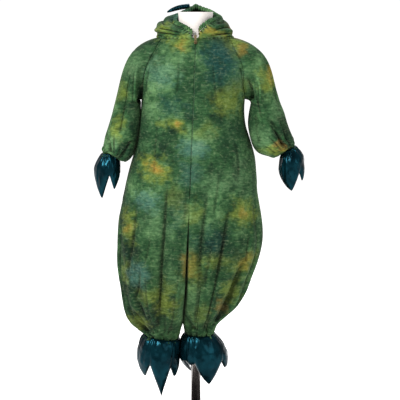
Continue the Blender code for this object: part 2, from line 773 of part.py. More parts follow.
def ankle_casing(word, side):
    """The casing at one ankle."""
    leg = RIGHT_LEG if side > 0 else LEFT_LEG
    row = leg.row(len(leg) - 1)
    last = INNER_COLUMNS + LEG_COLUMNS
    front = [leg_point(row, side, column, False) for column in range(last + 1)]
    back = [leg_point(row, side, column, True) for column in range(last - 1, 0, -1)]
    ring = np.array(front + back)
    tilt = math.radians(row["tilt"])
    axis = np.array((side * math.sin(tilt), 0, -math.cos(tilt)))
    centre = np.append((ring.min(axis=0) + ring.max(axis=0))[:2] / 2, row["z"])
    return casing(f"ankle_casing_{word}", ring, centre, axis, ANKLE_FRILL, ANKLE_FLARE)


def edge_rings():
    """The rings of the hood's gathered edge, from its left end at the zip round to its right end."""
    stations, around, rings = 3 * HOOD_GATHERS, 6, []
    for i in range(stations + 1):
        turn = i / stations * 2 - 1
        side = -1 if turn < 0 else 1
        angle = 180 - abs(turn) * (180 - HOOD_FRONT - 1)
        key = (RIGHT_HOOD if side > 0 else LEFT_HOOD).at(angle)
        a, lean = math.radians(angle), math.radians(key["lean"])
        inward = np.array((-side * math.sin(a), math.cos(a), 0))
        up = np.array((0, 0, 1))
        along = inward * math.cos(lean) + up * math.sin(lean)
        across = up * math.cos(lean) - inward * math.sin(lean)
        edge = np.array((side * key["edge_x"], key["edge_y"], key["edge_z"]))
        ripple = (1, -0.5, -0.5)[i % 3]
        half = HOOD_CASING_WIDTH / 2 + 0.8 * ripple
        thick = HOOD_CASING_THICKNESS / 2 + 0.5 * ripple
        # Where the casing turns away from the cloth it clears the thickness of the cloth's edge.
        arrive = np.array((-key["high_out"], key["high_up"])) * -1 / math.hypot(key["high_out"], key["high_up"])
        turned_away = max(0.0, arrive[1] * math.cos(lean) - arrive[0] * math.sin(lean))
        centre = edge + along * (half + HOOD_EDGE_GAP + CLOTH * turned_away)
        turns = 2 * math.pi * np.arange(around) / around
        rings.append([centre - along * half * math.cos(b) + across * thick * math.sin(b) for b in turns])
    return rings


def lofted(rings):
    """A closed mesh through rings of the same number of points, with flat ends."""
    bm = bmesh.new()
    verts = [[bm.verts.new(Vector(p) * MM) for p in ring] for ring in rings]
    for one, two in zip(verts, verts[1:]):
        for k in range(len(one)):
            n = (k + 1) % len(one)
            bm.faces.new((one[k], one[n], two[n], two[k]))
    bm.faces.new(verts[0])
    bm.faces.new(verts[-1])
    bmesh.ops.recalc_face_normals(bm, faces=bm.faces)
    return bm


def cover_outline(angle, claws, notch, radius):
    """A cover's length at this angle, its lower edge's steepness, the claw's lean and its back, and
    how far the angle lies from the claw's sides."""
    best = (notch, 0.0, 0.0, 0.0, 0.0)
    for i in range(len(claws)):
        claw = claws.row(i)
        share = abs(angle - claw["angle"]) / claw["half_angle"]
        if share < 1:
            drop = (claw["length"] - notch) * (1 - share**1.3)
            reach = math.radians(claw["half_angle"]) * radius
            side_room = (1 - share) * reach
            if notch + drop > best[0]:
                steep = (claw["length"] - notch) / reach
                best = (notch + drop, steep, claw["lean"], claw["back"], side_room)
    return best


def claw_cover(name, claws, sizes, notch, swell_left, swell_right, casing_sheet, collection):
    """A stuffed cover that hangs from a cuff and ends in pointed claws.

    Each column runs down from the cuff to the cover's lower outline, which dips into the claws.
    The cover is thick in the middle of each claw and thin along its seams."""
    axis = casing_sheet.axis
    sideways = np.cross((0.0, -1.0, 0.0), axis)
    sideways = sideways / np.linalg.norm(sideways) * np.sign(sideways[0])
    forward = np.array((0.0, -1.0, 0.0))
    ring = casing_sheet.hem_ring - casing_sheet.hem
    hem_side, hem_front = np.abs(ring @ sideways).max() - 2.5, np.abs(ring @ forward).max() - 2.5
    hang = axis * 0.25 + np.array((0, 0, -0.75))
    fronts, rears = [], []
    for angle in np.linspace(-sizes["wrap"], sizes["wrap"], sizes["columns"] + 1):
        a = math.radians(angle)
        swell_side = swell_right if a > 0 else swell_left
        length, steep, lean, back, side_room = cover_outline(angle, claws, notch, swell_side)
        radial = sideways * math.sin(a) + forward * math.cos(a)
        front, rear = [], []
        for s in np.linspace(0, 1, sizes["rows"] + 1):
            down = length * s
            flare = math.sin(min(down / sizes["swell_depth"], 1.0) * math.pi / 2)
            side = hem_side + (swell_side - hem_side) * flare
            ahead = hem_front + (sizes["swell_front"] - hem_front) * flare
            past = max(0.0, down - notch) / 60
            past_claw = past**1.3
            side, ahead = side - sizes["tuck"] * past_claw, ahead - sizes["tuck"] * past_claw
            middle = casing_sheet.hem + axis * sizes["drop"] + (axis * 8 * ease(down / 30) if down else 0)
            middle = middle + hang * max(0.0, down - 8 * ease(down / 30))
            middle = middle + sideways * side * math.sin(a) + forward * ahead * math.cos(a)
            middle = middle + np.array((lean, back, 0)) * past_claw
            room = min(
                (length - down) / math.hypot(1, steep) + 1.2,
                down * sizes["shoulder"] + 1.8,
                math.radians(sizes["wrap"] - abs(angle)) * side + 1.4,
                (side_room + 2.0) / sizes["valley"],
            )
            puff = min(room / sizes["stuffing"], 1.0)
            half = sizes["stuffing"] * math.sqrt(1 - (1 - puff) ** 2) * 0.62
            front.append(middle + radial * half)
            rear.append(middle - radial * half * 0.5)
        fronts.append(front)
        rears.append(rear)
    rings = [front + rear[::-1] for front, rear in zip(fronts, rears)]
    bm = bmesh.new()
    verts = [[bm.verts.new(Vector(p) * MM) for p in ring] for ring in rings]
    for one, two in zip(verts, verts[1:]):
        for k in range(len(one)):
            n = (k + 1) % len(one)
            bm.faces.new((one[k], one[n], two[n], two[k]))
    rows = sizes["rows"] + 1
    for ring in (verts[0], verts[-1]):
        for k in range(rows - 1):
            bm.faces.new((ring[k], ring[k + 1], ring[2 * rows - 2 - k], ring[2 * rows - 1 - k]))
    bmesh.ops.recalc_face_normals(bm, faces=bm.faces)
    return place(name, bm, TEAL_CLOTH, collection)


def zip_line():
    """Points down the front edge from the neckline to the zip's end, and the way into the garment."""
    rows = [YOKE.row(i) for i in range(len(YOKE))] + [TORSO.row(i) for i in range(1, 5)]
    line = np.array([(row["mid"], -row["front"], row["z"]) for row in rows])
    slope = np.gradient(line, axis=0)
    inwards = np.cross(slope, (1.0, 0, 0))
    inwards = inwards / np.linalg.norm(inwards, axis=1)[:, None]
    return line, inwards * np.sign(inwards[:, 1])[:, None]


def zip_tape(word, side, collection):
    """One of the zip's two tapes, which lies behind the front's edge and follows it."""
    rings = []
    for point, inwards in zip(*zip_line()):
        near = point + inwards * (CLOTH + TAPE_GAP)
        far = near + inwards * TAPE_THICKNESS
        edge = np.array((side * 0.2, 0, 0))
        reach = np.array((side * TAPE_WIDTH, TAPE_WIDTH**2 / 260, 0))
        rings.append([near + edge, near + reach, far + reach, far + edge])
    return place(f"zip_tape_{word}", lofted(rings), ZIP_CLOTH, collection)


def bevelled_box(size, width):
    """A box of this size, in millimetres, with rounded edges."""
    bm = bmesh.new()
    bmesh.ops.create_cube(bm, size=1.0, matrix=Matrix.Diagonal((*(s * MM for s in size), 1)))
    bmesh.ops.bevel(bm, geom=bm.edges[:], offset=width * MM, segments=2, affect="EDGES")
    return bm


def wire_mesh(name, points, radius, collection):
    """A wire along these points as a closed mesh, used to build the slider and its pull."""
    curve = bpy.data.curves.new(name, "CURVE")
    curve.dimensions = "3D"
    curve.bevel_depth = radius * MM
    curve.bevel_resolution = 1
    curve.use_fill_caps = True
    spline = curve.splines.new("POLY")
    spline.points.add(len(points) - 1)
    for slot, point in zip(spline.points, points):
        slot.co = (*(c * MM for c in point), 1)
    source = bpy.data.objects.new(name, curve)
    collection.objects.link(source)
    bpy.context.view_layer.update()
    graph = bpy.context.evaluated_depsgraph_get()
    mesh = bpy.data.meshes.new_from_object(source.evaluated_get(graph))
    bpy.data.objects.remove(source)
    bm = bmesh.new()
    bm.from_mesh(mesh)
    bmesh.ops.remove_doubles(bm, verts=bm.verts, dist=0.00001)
    bm.to_mesh(mesh)
    bm.free()
    wire = bpy.data.objects.new(name, mesh)
    collection.objects.link(wire)
    wire.hide_render = True
    wire.display_type = "WIRE"
    return wire


def boolean(obj, other, operation):
    """Joins another mesh to this object, or cuts it away."""
    modifier = obj.modifiers.new(operation.title(), "BOOLEAN")
    modifier.operation = operation
    modifier.object = other


def slider_and_pull(collection, helpers):
    """The zip's slider with its arched bail, and the pull tab that turns on it."""
    line, inwards = zip_line()
    order = np.argsort(line[:, 2])
    at = [np.interp(SLIDER_HEIGHT, line[order, 2], line[order, k]) for k in range(3)]
    lean = math.atan2(-inwards[0][2], inwards[0][1])
    outwards = -inwards[0]
    centre = np.array(at) + outwards * (SLIDER_SIZE[1] / 2 + SLIDER_LIFT)
    front = -SLIDER_SIZE[1] / 2
    slider = place("zip_slider", bevelled_box(SLIDER_SIZE, 0.8), BRASS, collection)
    arch = [(0, front + 0.9, 3.6), (0, front - BAIL_REACH + 0.6, 3.0)]
    arch += [(0, front - BAIL_REACH, 0), (0, front - BAIL_REACH + 0.6, -3.0), (0, front + 0.9, -3.6)]
    bail = wire_mesh("bail", arch, 0.7, helpers)
    boolean(slider, bail, "UNION")
    for obj in (slider, bail):
        obj.location = Vector(centre) * MM
        obj.rotation_euler = (-lean, 0, 0)
    pull_bm = bevelled_box((PULL_WIDTH, 1.1, PULL_LENGTH), 0.4)
    bmesh.ops.translate(pull_bm, verts=pull_bm.verts, vec=Vector((0, 0, PULL_LENGTH / 2 - 0.6)) * MM)
    pull = place("zip_pull", pull_bm, BRASS, collection)
    window = place("pull_window", bevelled_box((2.8, 4.0, 4.6), 0.3), BRASS, helpers)
    window.data.transform(Matrix.Translation(Vector((0, 0, 2.95)) * MM))
    window.hide_render = True
    window.display_type = "WIRE"
    boolean(pull, window, "DIFFERENCE")
    hinge = centre + outwards * (SLIDER_SIZE[1] / 2 + (BAIL_REACH - 0.7) / 2)
    for obj in (pull, window):
        obj.location = Vector(hinge) * MM
        obj.rotation_euler = (-math.radians(PULL_LEAN), 0, 0)


FORM_SIDES = 28

# The form's outline from the neck down: half width, depth to the front and depth to the back
FORM = Table(
    "z half_width front back",
    (NECK_TOP, NECK_RADIUS, NECK_RADIUS, NECK_RADIUS),
    (1062, NECK_RADIUS, NECK_RADIUS, NECK_RADIUS),
    (1047, 50, 47, 47),
    (1035, 74, 53, 51),
    (1022, 103, 65, 62),
    (1006, 125, 77.5, 75),
    (985, 133, 88, 82.5),
    (950, 132, 97, 90),
    (900, 125, 98, 90),
    (840, 116, 96, 87),
    (780, 114, 93, 85),
    (720, 120, 96, 92),
    (672, 123, 98, 95),
    (FORM_BOTTOM, 116, 90, 88),
)


def dress_form(collection):
    """The limbless form: a loft of plain oval sections, flat at the neck and at the bottom."""
    rings = []
    for i in range(len(FORM)):
        row = FORM.row(i)
        ring = []
        for a in 2 * math.pi * np.arange(FORM_SIDES) / FORM_SIDES:
            depth = row["front"] if math.cos(a) > 0 else row["back"]
            ring.append((row["half_width"] * math.sin(a), -depth * math.cos(a), row["z"]))
        rings.append(ring)
    return place("form_body", lofted(rings), FORM_JERSEY, collection)


def turned(name, profile, steps, look, collection):
    """A solid turned about Z from a profile that runs down its outer side."""
    mesh = bpy.data.meshes.new(name)
    verts = [(radius * MM, 0, z * MM) for radius, z in profile]
    mesh.from_pydata(verts, [(i, i + 1) for i in range(len(verts) - 1)], [])
    mesh.materials.append(principled(name, look))
    obj = bpy.data.objects.new(name, mesh)
    collection.objects.link(obj)
    screw = obj.modifiers.new("Turn", "SCREW")
    screw.steps = screw.render_steps = steps
    screw.use_merge_vertices = True
    screw.merge_threshold = 0.00001
    return obj


def stand(collection):
    """The pole from the base to the form, and the round base plate."""
    gap = 0.3
    pole = [(0, FORM_BOTTOM - gap), (POLE_RADIUS, FORM_BOTTOM - gap)]
    pole += [(POLE_RADIUS, BASE_THICKNESS + gap), (0, BASE_THICKNESS + gap)]
    turned("pole", pole, 24, STEEL, collection)
    round_edge = 3.0
    plate = [(0, BASE_THICKNESS), (BASE_RADIUS - round_edge, BASE_THICKNESS)]
    plate += [(BASE_RADIUS, BASE_THICKNESS - round_edge), (BASE_RADIUS, 0), (0, 0)]
    turned("base_plate", plate, 40, STEEL, collection)


# The padded spike on the hood's top: where its root and its tip lie, and its half width and half
# thickness at the root
SPIKE_ROOT = np.array((-15.0, 84.0, 1114.7))
SPIKE_TIP = np.array((-75.0, 80.0, 1099.0))
SPIKE_HALF = (9.0, 5.0)


def hood_spike(collection):
    """The padded spike that is sewn to the hood's top and lies over to the left."""
    along = (SPIKE_TIP - SPIKE_ROOT) / np.linalg.norm(SPIKE_TIP - SPIKE_ROOT)
    flat = np.array((0.0, 1.0, 0.0))
    tall = np.cross(flat, along)
    rings = []
    for t in np.linspace(0, 1, 7):
        size = 0.1 + 0.9 * (1 - t) ** 0.75
        centre = SPIKE_ROOT + (SPIKE_TIP - SPIKE_ROOT) * t + np.array((0, 0, 3.5)) * math.sin(math.pi * t)
        turns = 2 * math.pi * np.arange(10) / 10
        wide, thick = SPIKE_HALF[0] * size, SPIKE_HALF[1] * size
        rings.append([centre + flat * wide * math.cos(b) + tall * thick * math.sin(b) for b in turns])
    return place("hood_spike", lofted(rings), TEAL_CLOTH, collection)


def main():
    for obj in list(bpy.data.objects):
        bpy.data.objects.remove(obj)
    costume = bpy.data.collections.new("dinosaur_costume")
    helpers = bpy.data.collections.new("helpers")
    for collection in (costume, helpers):
        bpy.context.scene.collection.children.link(collection)
    sheets = garment_sheets()
    meshes = outward_sheets(sheets)
    shared = normals_at_points(meshes)
    for sheet, bm in zip(sheets, meshes):
        place(sheet.name, wall(sheet, bm, shared), GREEN_CLOTH, costume)
    place("hood_edge", lofted(edge_rings()), GREEN_CLOTH, costume)
    hood_spike(costume)
    named = {sheet.name: sheet for sheet in sheets}
    for name, cuff, claws, sizes, notch, swell_left, swell_right in COVERS:
        claw_cover(name, claws, sizes, notch, swell_left, swell_right, named[cuff], costume)
    for side, word in ((-1, "left"), (1, "right")):
        zip_tape(word, side, costume)
    slider_and_pull(costume, helpers)
    dress_form(costume)
    stand(costume)


main()
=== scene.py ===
"""A child's green dinosaur costume with teal claws, worn by a limbless dress form on a pole stand.

Left and right are as seen from the front. The formulas work in millimetres, in the frame of the CAD
model: X to the right, Y to the back, Z up. Meshes are in metres.
"""

import math

import bmesh
import bpy
import numpy as np
from bpy.props import FloatProperty, FloatVectorProperty, IntProperty, PointerProperty
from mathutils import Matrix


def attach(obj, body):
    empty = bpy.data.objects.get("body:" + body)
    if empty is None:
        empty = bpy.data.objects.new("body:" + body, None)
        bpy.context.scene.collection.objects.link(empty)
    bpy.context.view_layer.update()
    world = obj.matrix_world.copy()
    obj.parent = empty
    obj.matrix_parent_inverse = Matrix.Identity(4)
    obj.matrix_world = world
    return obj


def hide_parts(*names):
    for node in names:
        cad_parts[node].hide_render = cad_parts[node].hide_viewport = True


bl_info = {
    "name": "Dinosaur Costume",
    "version": (1, 0, 0),
    "blender": (4, 5, 0),
    "location": "3D View > Sidebar > Costume",
    "description": "Builds a hooded dinosaur costume on a dress form",
    "category": "Add Mesh",
}

MM = 0.001
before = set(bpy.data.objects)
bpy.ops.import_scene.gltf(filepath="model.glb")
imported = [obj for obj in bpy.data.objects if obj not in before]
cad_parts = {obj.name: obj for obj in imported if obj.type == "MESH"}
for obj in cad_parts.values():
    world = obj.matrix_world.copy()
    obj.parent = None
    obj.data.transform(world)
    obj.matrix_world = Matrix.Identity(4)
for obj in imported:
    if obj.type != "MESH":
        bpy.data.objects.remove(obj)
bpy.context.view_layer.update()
LEFT, RIGHT = -1, 1
SIDES = ((LEFT, "left"), (RIGHT, "right"))


FOLD_COLUMNS = "x_top z_top x_bottom z_bottom bow width depth"
CREASE_COLUMNS = FOLD_COLUMNS + " ridge"
LEG_ROW_COLUMNS = "z inner outer front back share fold tilt"
RING_COLUMNS = "step x y z tilt half_width half_depth fold"
HOOD_COLUMNS = "angle edge_x edge_y edge_z low_out low_up high_out high_up lean"
CLAW_COLUMNS = "angle half_angle length lean back"


class Table:
    """A short table of sizes with named columns. Its first column is the key."""

    def __init__(self, columns, *rows):
        self.columns = columns.split()
        self.values = np.array(rows, float)

    def rows(self):
        """Each row as a dictionary by column name."""
        return [dict(zip(self.columns, row)) for row in self.values]

    def at(self, key):
        """The sizes at these keys, on a cubic curve through the rows with their mean slopes."""
        order = np.argsort(self.values[:, 0])
        keys, values = self.values[order, 0], self.values[order]
        slopes = np.gradient(values, keys, axis=0)
        key = np.asarray(key, float)
        i = np.clip(np.searchsorted(keys, key) - 1, 0, len(keys) - 2)
        span = (keys[i + 1] - keys[i])[..., None]
        t = (key - keys[i])[..., None] / span
        sizes = curve(t, values[i], values[i + 1], slopes[i] * span, slopes[i + 1] * span)
        return {name: sizes[..., k] for k, name in enumerate(self.columns)}


# Rows of the body from the neckline to the top of the crotch seam. The raglan share is how far the
# front reaches towards the side before the sleeve takes over, and the rise lifts the row at the back.
BODY = Table(
    "z mid left right front back raglan rise",
    (1034, 0, -97, 97, 62, 58, 0.88, 8),
    (1008, 0, -124, 122, 84, 76, 0.81, 5),
    (980, -1, -143, 140, 97, 86, 0.81, 2),
    (953, -2, -146, 140, 103, 92, 0.86, 0),
    (925, -3, -142, 133, 106, 94, 0.92, 0),
    (900, -3, -138, 128, 107, 95, 0.97, 0),
    (880, -4, -138, 126, 108, 96, 1.00, 0),
    (846, -6, -141, 125, 109, 98, 1.00, 0),
    (813, -7, -148, 129, 110, 99, 1.00, 0),
    (774, -9, -153, 141, 113, 102, 1.00, 0),
    (735, -10.5, -161, 151, 117, 106, 1.00, 0),
    (688, -12.5, -174, 156, 121, 110, 1.00, 0),
    (640, -14.5, -185, 160, 125, 114, 1.00, 0),
)
NECKLINE = 1034.0
ARMPIT = 880.0
CROTCH_TOP = 640.0
CROTCH = 577.0
ZIP_END = 735.0
HOOD_FRONT = 8.0
HOOD_EDGE_GAP = 0.8
SPIKE_ROOT = np.array((-15.0, 84.0, 1114.7))
SPIKE_TIP = np.array((-75.0, 80.0, 1099.0))
SPIKE_HALF = (9.0, 6.6)

# Rows of the two legs, from the top of the crotch seam to the ankle's elastic. The inner share is
# how far the leg's widest line lies from its inner side, and the fold is how deep the gathers are.
LEFT_LEG = Table(
    LEG_ROW_COLUMNS,
    (640, -14.5, -185, 125, 114, 0.00, 0.0, 0),
    (612, -15.6, -192, 126, 115, 0.00, 0.5, 0),
    (590, -16.4, -196.8, 127, 116, 0.01, 0.7, 0),
    (CROTCH, -16.9, -199.5, 128, 117, 0.02, 0.8, 0),
    (540, -18.4, -203, 130, 119, 0.07, 1.2, 0),
    (490, -20.3, -204, 129, 118, 0.14, 2.0, 0),
    (440, -22.4, -201, 124, 114, 0.24, 3.0, 0),
    (390, -23.95, -193, 114, 105, 0.32, 4.2, 0),
    (350, -27.2, -188, 102, 95, 0.38, 5.0, 1),
    (320, -30.4, -183, 87, 82, 0.42, 5.4, 3),
    (297, -36.2, -176, 70, 66, 0.46, 5.0, 5),
    (277, -44, -164, 54, 51, 0.50, 4.0, 7),
    (257, -49, -135, 40, 38, 0.50, 2.8, 8),
)
RIGHT_LEG = Table(
    LEG_ROW_COLUMNS,
    (640, -14.5, 160, 125, 114, 0.00, 0.0, 0),
    (612, -15.6, 165, 126, 115, 0.00, 0.5, 0),
    (590, -16.4, 168.6, 127, 116, 0.01, 0.7, 0),
    (CROTCH, -16.9, 170.5, 128, 117, 0.02, 0.8, 0),
    (540, -18.4, 174, 130, 119, 0.07, 1.2, 0),
    (500, -20.0, 172, 129, 118, 0.12, 1.8, 0),
    (455, -21.8, 160, 123, 113, 0.20, 2.6, 0),
    (415, -22.8, 143, 115, 106, 0.27, 3.6, 0),
    (375, -24.6, 126, 104, 96, 0.33, 4.4, 0),
    (340, -28.2, 104, 88, 82, 0.39, 4.8, 0),
    (312, -31.2, 79, 68, 64, 0.44, 4.6, 0),
    (289, -31.3, 57, 49, 46, 0.50, 3.6, 0),
    (265, -26, 48, 37, 36, 0.50, 2.4, 0),
)
# The long folds of the body: where a fold starts and ends, how far its middle is bowed sideways,
# and its half width and depth. A fold with a negative depth stands out as a ridge.
FRONT_FOLDS = Table(
    FOLD_COLUMNS,
    (-68, 690, -97, 272, 0, 12, 6.5),
    (-157, 585, -182, 415, 0, 13, 4.5),
    (-186, 366, -118, 268, 6, 12, 8.0),
    (-166, 405, -120, 285, -3, 12, -5.0),
    (-100, 400, -97, 264, 0, 9, -3.5),
    (-60, 420, -70, 270, 4, 12, 4.0),
    (-120, 470, -108, 300, -4, 14, -4.0),
    (36, 700, -5, 272, -6, 12, 6.0),
    (96, 690, 19, 262, 6, 13, 6.5),
    (128, 500, 56, 296, 7, 11, 9.0),
    (60, 470, 24, 300, 3, 13, -4.5),
    (112, 400, 62, 312, 5, 10, -5.0),
    (-36, 345, -2, 276, 0, 10, 5.0),
)
BACK_FOLDS = Table(
    FOLD_COLUMNS,
    (-142, 600, -128, 290, -7, 14, 6.5),
    (-92, 560, -101, 268, 5, 12, 7.5),
    (-56, 450, -76, 280, 3, 12, 4.5),
    (-170, 430, -140, 300, -6, 13, 5.5),
    (-70, 640, -74, 470, 4, 15, 3.5),
    (30, 610, 2, 285, -4, 13, 6.0),
    (78, 560, 22, 270, 8, 12, 8.0),
    (118, 480, 44, 300, 9, 13, 6.0),
    (140, 600, 122, 430, 5, 15, 4.0),
    (-30, 820, -44, 640, 6, 20, 3.0),
    (52, 850, 60, 660, -8, 20, 3.5),
)
# Rings of the sleeves below the armpit: the centre, how far the outer end is turned up, and the
# ring's half width, half depth and gathers
LEFT_SLEEVE = Table(
    RING_COLUMNS,
    (0, -173, -14, 868, 2, 33.5, 49, 0.4),
    (1, -176.5, -20, 842, 2, 36.5, 50, 0.6),
    (2, -182, -25, 813, 2, 39.5, 51, 0.9),
    (3, -189, -28, 785, 5, 41, 51, 1.3),
    (4, -193.5, -28, 766, 12, 40, 49, 1.7),
    (5, -199, -26, 752, 22, 38.5, 45, 1.9),
    (6, -206, -23, 743, 32, 35, 40, 1.8),
    (7, -212, -21, 742, 33, 31, 32.5, 1.4),
    (8, -219, -20, 749, 0, 19, 22.5, 1.0),
)
RIGHT_SLEEVE = Table(
    RING_COLUMNS,
    (0, 178, -14, 868, 2, 38.5, 50, 0.4),
    (1, 180.5, -20, 845, 2, 45.5, 52, 0.6),
    (2, 183, -25, 820, 2, 50, 54, 0.9),
    (3, 189.5, -28, 794, 6, 52, 55, 1.3),
    (4, 196.5, -28, 774.5, 15, 51.5, 53, 1.7),
    (5, 204.5, -26, 764.5, 24, 48, 48, 1.9),
    (6, 218, -23, 758, 33.5, 38.5, 41, 1.8),
    (7, 228, -21, 754, 41, 30.5, 33, 1.6),
    (8, 236, -20, 760, 23, 17.5, 22, 1.4),
)
LEFT_SLEEVE_FOLDS = Table(
    FOLD_COLUMNS,
    (-116, 985, -139, 868, -5, 9, 8.0),
    (-140, 1000, -158, 872, 0, 10, -5.0),
    (-170, 905, -192, 800, 0, 13, 4.0),
    (-196, 722, -158, 786, 0, 9, 7.0),
    (-226, 800, -214, 748, 0, 9, 4.0),
)
RIGHT_SLEEVE_FOLDS = Table(
    FOLD_COLUMNS,
    (146, 985, 168, 820, 0, 12, -5.5),
    (124, 950, 142, 878, 6, 9, 7.5),
    (176, 850, 224, 762, 6, 10, 8.0),
    (156, 880, 164, 770, -5, 11, 4.5),
    (205, 870, 236, 775, 3, 12, 3.5),
)
SLEEVE_BACK_FOLDS = Table(
    FOLD_COLUMNS,
    (-150, 950, -176, 800, 4, 13, 6.0),
    (-200, 850, -214, 752, -3, 11, 5.5),
    (-176, 790, -206, 744, 3, 9, 4.5),
    (150, 960, 180, 810, -4, 13, 6.5),
    (190, 830, 226, 764, 4, 11, 6.0),
    (222, 830, 238, 772, 0, 9, 4.0),
)

# The hood at angles round the neck, from the back to the front: where its face edge lies, how far
# the cloth bulges out and up above the neckline and again below the face edge, and how the edge's
# casing leans up from level
LEFT_HOOD = Table(
    HOOD_COLUMNS,
    (180, 0, 72, 1121, 56, -12, 60, 2, -56),
    (165, 17, 68, 1110, 50, -8, 58, 1, -42),
    (150, 33, 62, 1101, 44, 0, 54, 0, -28),
    (120, 54, 35, 1087, 22, 16, 46, 2, 5),
    (90, 58.5, -2, 1071, 8, 20, 40, 3, 30),
    (70, 50, -30, 1067, 5, 18, 30, 0, 42),
    (45, 33, -51, 1060, 4, 13, 18, -1, 52),
    (20, 16, -61, 1050, 1, 6, 1, -4, 64),
    (8, 7, -64, 1042.5, 0, 2.5, 0, -2.5, 64),
)
RIGHT_HOOD = Table(
    HOOD_COLUMNS,
    (180, 0, 72, 1121, 56, -12, 60, 2, -56),
    (165, 17, 68, 1113, 46, -6, 54, 2, -42),
    (150, 33, 62, 1107, 34, 2, 44, 0, -28),
    (120, 54, 35, 1092, 10, 14, 28, -2, 5),
    (90, 58.5, 0, 1078, 3, 16, 18, -6, 30),
    (70, 51, -27, 1077, 3, 15, 16, -4, 42),
    (45, 37, -46, 1071, 3, 12, 12, -4, 54),
    (20, 15, -61, 1056, 1, 8, 1, -6, 66),
    (8, 7.5, -64, 1047, 0, 4, 0, -4, 66),
)
# The stuffed claws that hang from a cuff. Angles run from the front and are negative to the left.
# A claw's lean slides its tip to the right, and its back slides it to the back.
LEFT_FOOT_CLAWS = Table(
    CLAW_COLUMNS,
    (-57, 30, 104, 2, 6),
    (6, 33, 152, 2, 0),
    (64, 25, 96, 8, 4),
)
RIGHT_FOOT_CLAWS = Table(
    CLAW_COLUMNS,
    (-88, 44, 108, 17, 28),
    (-32, 30, 70, 0, 0),
    (20, 40, 125, 6, 0),
    (80, 26, 88, 14, 6),
)
LEFT_HAND_CLAWS = Table(
    CLAW_COLUMNS,
    (-44, 44, 108, 0, 0),
    (40, 39, 85, -2, 0),
)
RIGHT_HAND_CLAWS = Table(
    CLAW_COLUMNS,
    (-24, 78, 99, 3, 0),
    (66, 40, 87, 2, 0),
)
FORM = Table(
    "z half_width front back",
    (1100, 44, 44, 44),
    (1062, 44, 44, 44),
    (1047, 50, 47, 47),
    (1035, 74, 53, 51),
    (1022, 103, 65, 62),
    (1006, 125, 77.5, 75),
    (985, 133, 88, 82.5),
    (950, 132, 97, 90),
    (900, 125, 98, 90),
    (840, 116, 96, 87),
    (780, 114, 93, 85),
    (720, 120, 96, 92),
    (672, 123, 98, 95),
    (652, 116, 90, 88),
)

# Creases that lie sharp in the cloth: a fold's narrow valley with a ridge beside it. A negative ridge
# lies to the left.
FRONT_CREASES = Table(
    CREASE_COLUMNS,
    (-66, 730, -96, 272, -3, 2.6, 4.6, 1.6),
    (-146, 640, -181, 430, 3, 2.8, 2.6, -1.0),
    (-186, 356, -121, 272, -4, 3.8, 7.0, 3.4),
    (-160, 400, -112, 290, 4, 3.4, 3.2, 1.6),
    (-101, 392, -98, 268, 0, 2.6, 3.0, 1.2),
    (-52, 430, -66, 275, 3, 3.2, 3.2, 1.2),
    (-128, 470, -112, 320, -4, 3.4, 2.2, 1.0),
    (-14, 735, -22, 590, 2, 3.0, 3.0, 1.2),
    (34, 690, -4, 276, -4, 2.6, 4.2, 1.6),
    (92, 660, 20, 266, 4, 2.6, 4.4, 1.6),
    (124, 490, 57, 300, 6, 3.0, 5.4, 2.2),
    (66, 450, 30, 290, 3, 3.2, 2.8, 1.2),
    (112, 400, 66, 318, 5, 3.0, 3.0, 1.4),
    (-34, 345, -3, 280, 0, 2.8, 4.0, 1.6),
    (10, 380, 4, 276, 0, 2.8, 2.4, 1.0),
    (-78, 370, -80, 270, 0, 2.8, 2.6, 1.2),
    (-140, 330, -106, 268, 3, 2.8, 2.8, 1.2),
    (150, 650, 158, 520, -4, 3.2, 1.8, 0.8),
    (96, 800, 108, 690, 3, 3.6, 1.4, 0.7),
    (-92, 840, -104, 700, -3, 3.6, 1.4, 0.7),
    (-112, 560, -128, 470, 2, 3.2, 1.6, 0.8),
    (-140, 470, -152, 378, 3, 2.8, 2.4, 1.0),
    (-36, 560, -48, 400, 2, 3.0, 2.0, 0.9),
    (50, 560, 18, 380, -3, 2.8, 2.4, 1.0),
    (140, 560, 128, 470, -3, 3.0, 2.2, 1.0),
    (82, 360, 44, 290, 4, 2.6, 3.4, 1.4),
    (-126, 360, -104, 282, 2, 2.8, 3.4, 1.4),
    (-58, 330, -72, 268, 0, 2.6, 3.2, 1.2),
    (42, 340, 28, 272, 0, 2.6, 3.0, 1.2),
    (-24, 700, -30, 560, 2, 3.0, 1.6, 0.8),
    (60, 720, 44, 600, 2, 3.2, 1.6, 0.8),
    (-110, 980, -124, 900, -3, 2.8, 2.4, 1.0),
    (108, 980, 122, 900, 4, 2.8, 2.6, 1.1),
    (-40, 1010, -48, 900, 2, 3.4, 1.2, 0.6),
    (44, 1000, 54, 880, -2, 3.4, 1.2, 0.6),
)
BACK_CREASES = Table(
    CREASE_COLUMNS,
    (-136, 620, -127, 285, -6, 2.8, 4.0, 1.6),
    (-90, 600, -100, 268, 5, 2.6, 4.6, 1.8),
    (-54, 470, -75, 275, 3, 3.0, 3.0, 1.2),
    (-172, 440, -139, 300, -5, 3.0, 3.8, 1.6),
    (-118, 420, -112, 272, 3, 3.0, 2.6, 1.2),
    (-72, 690, -75, 470, 4, 3.2, 2.4, 1.0),
    (32, 650, 3, 280, -4, 2.6, 3.8, 1.6),
    (80, 600, 22, 272, 7, 2.8, 4.6, 1.8),
    (118, 500, 45, 298, 8, 3.0, 4.2, 1.8),
    (142, 620, 122, 430, 5, 3.2, 2.4, 1.0),
    (58, 420, 32, 276, 3, 3.0, 2.8, 1.2),
    (-30, 840, -44, 620, 6, 3.6, 2.0, 0.9),
    (52, 860, 60, 640, -8, 3.4, 2.2, 1.0),
    (-104, 900, -118, 760, -4, 3.4, 1.8, 0.8),
    (-30, 360, -6, 282, 0, 2.8, 3.0, 1.2),
)
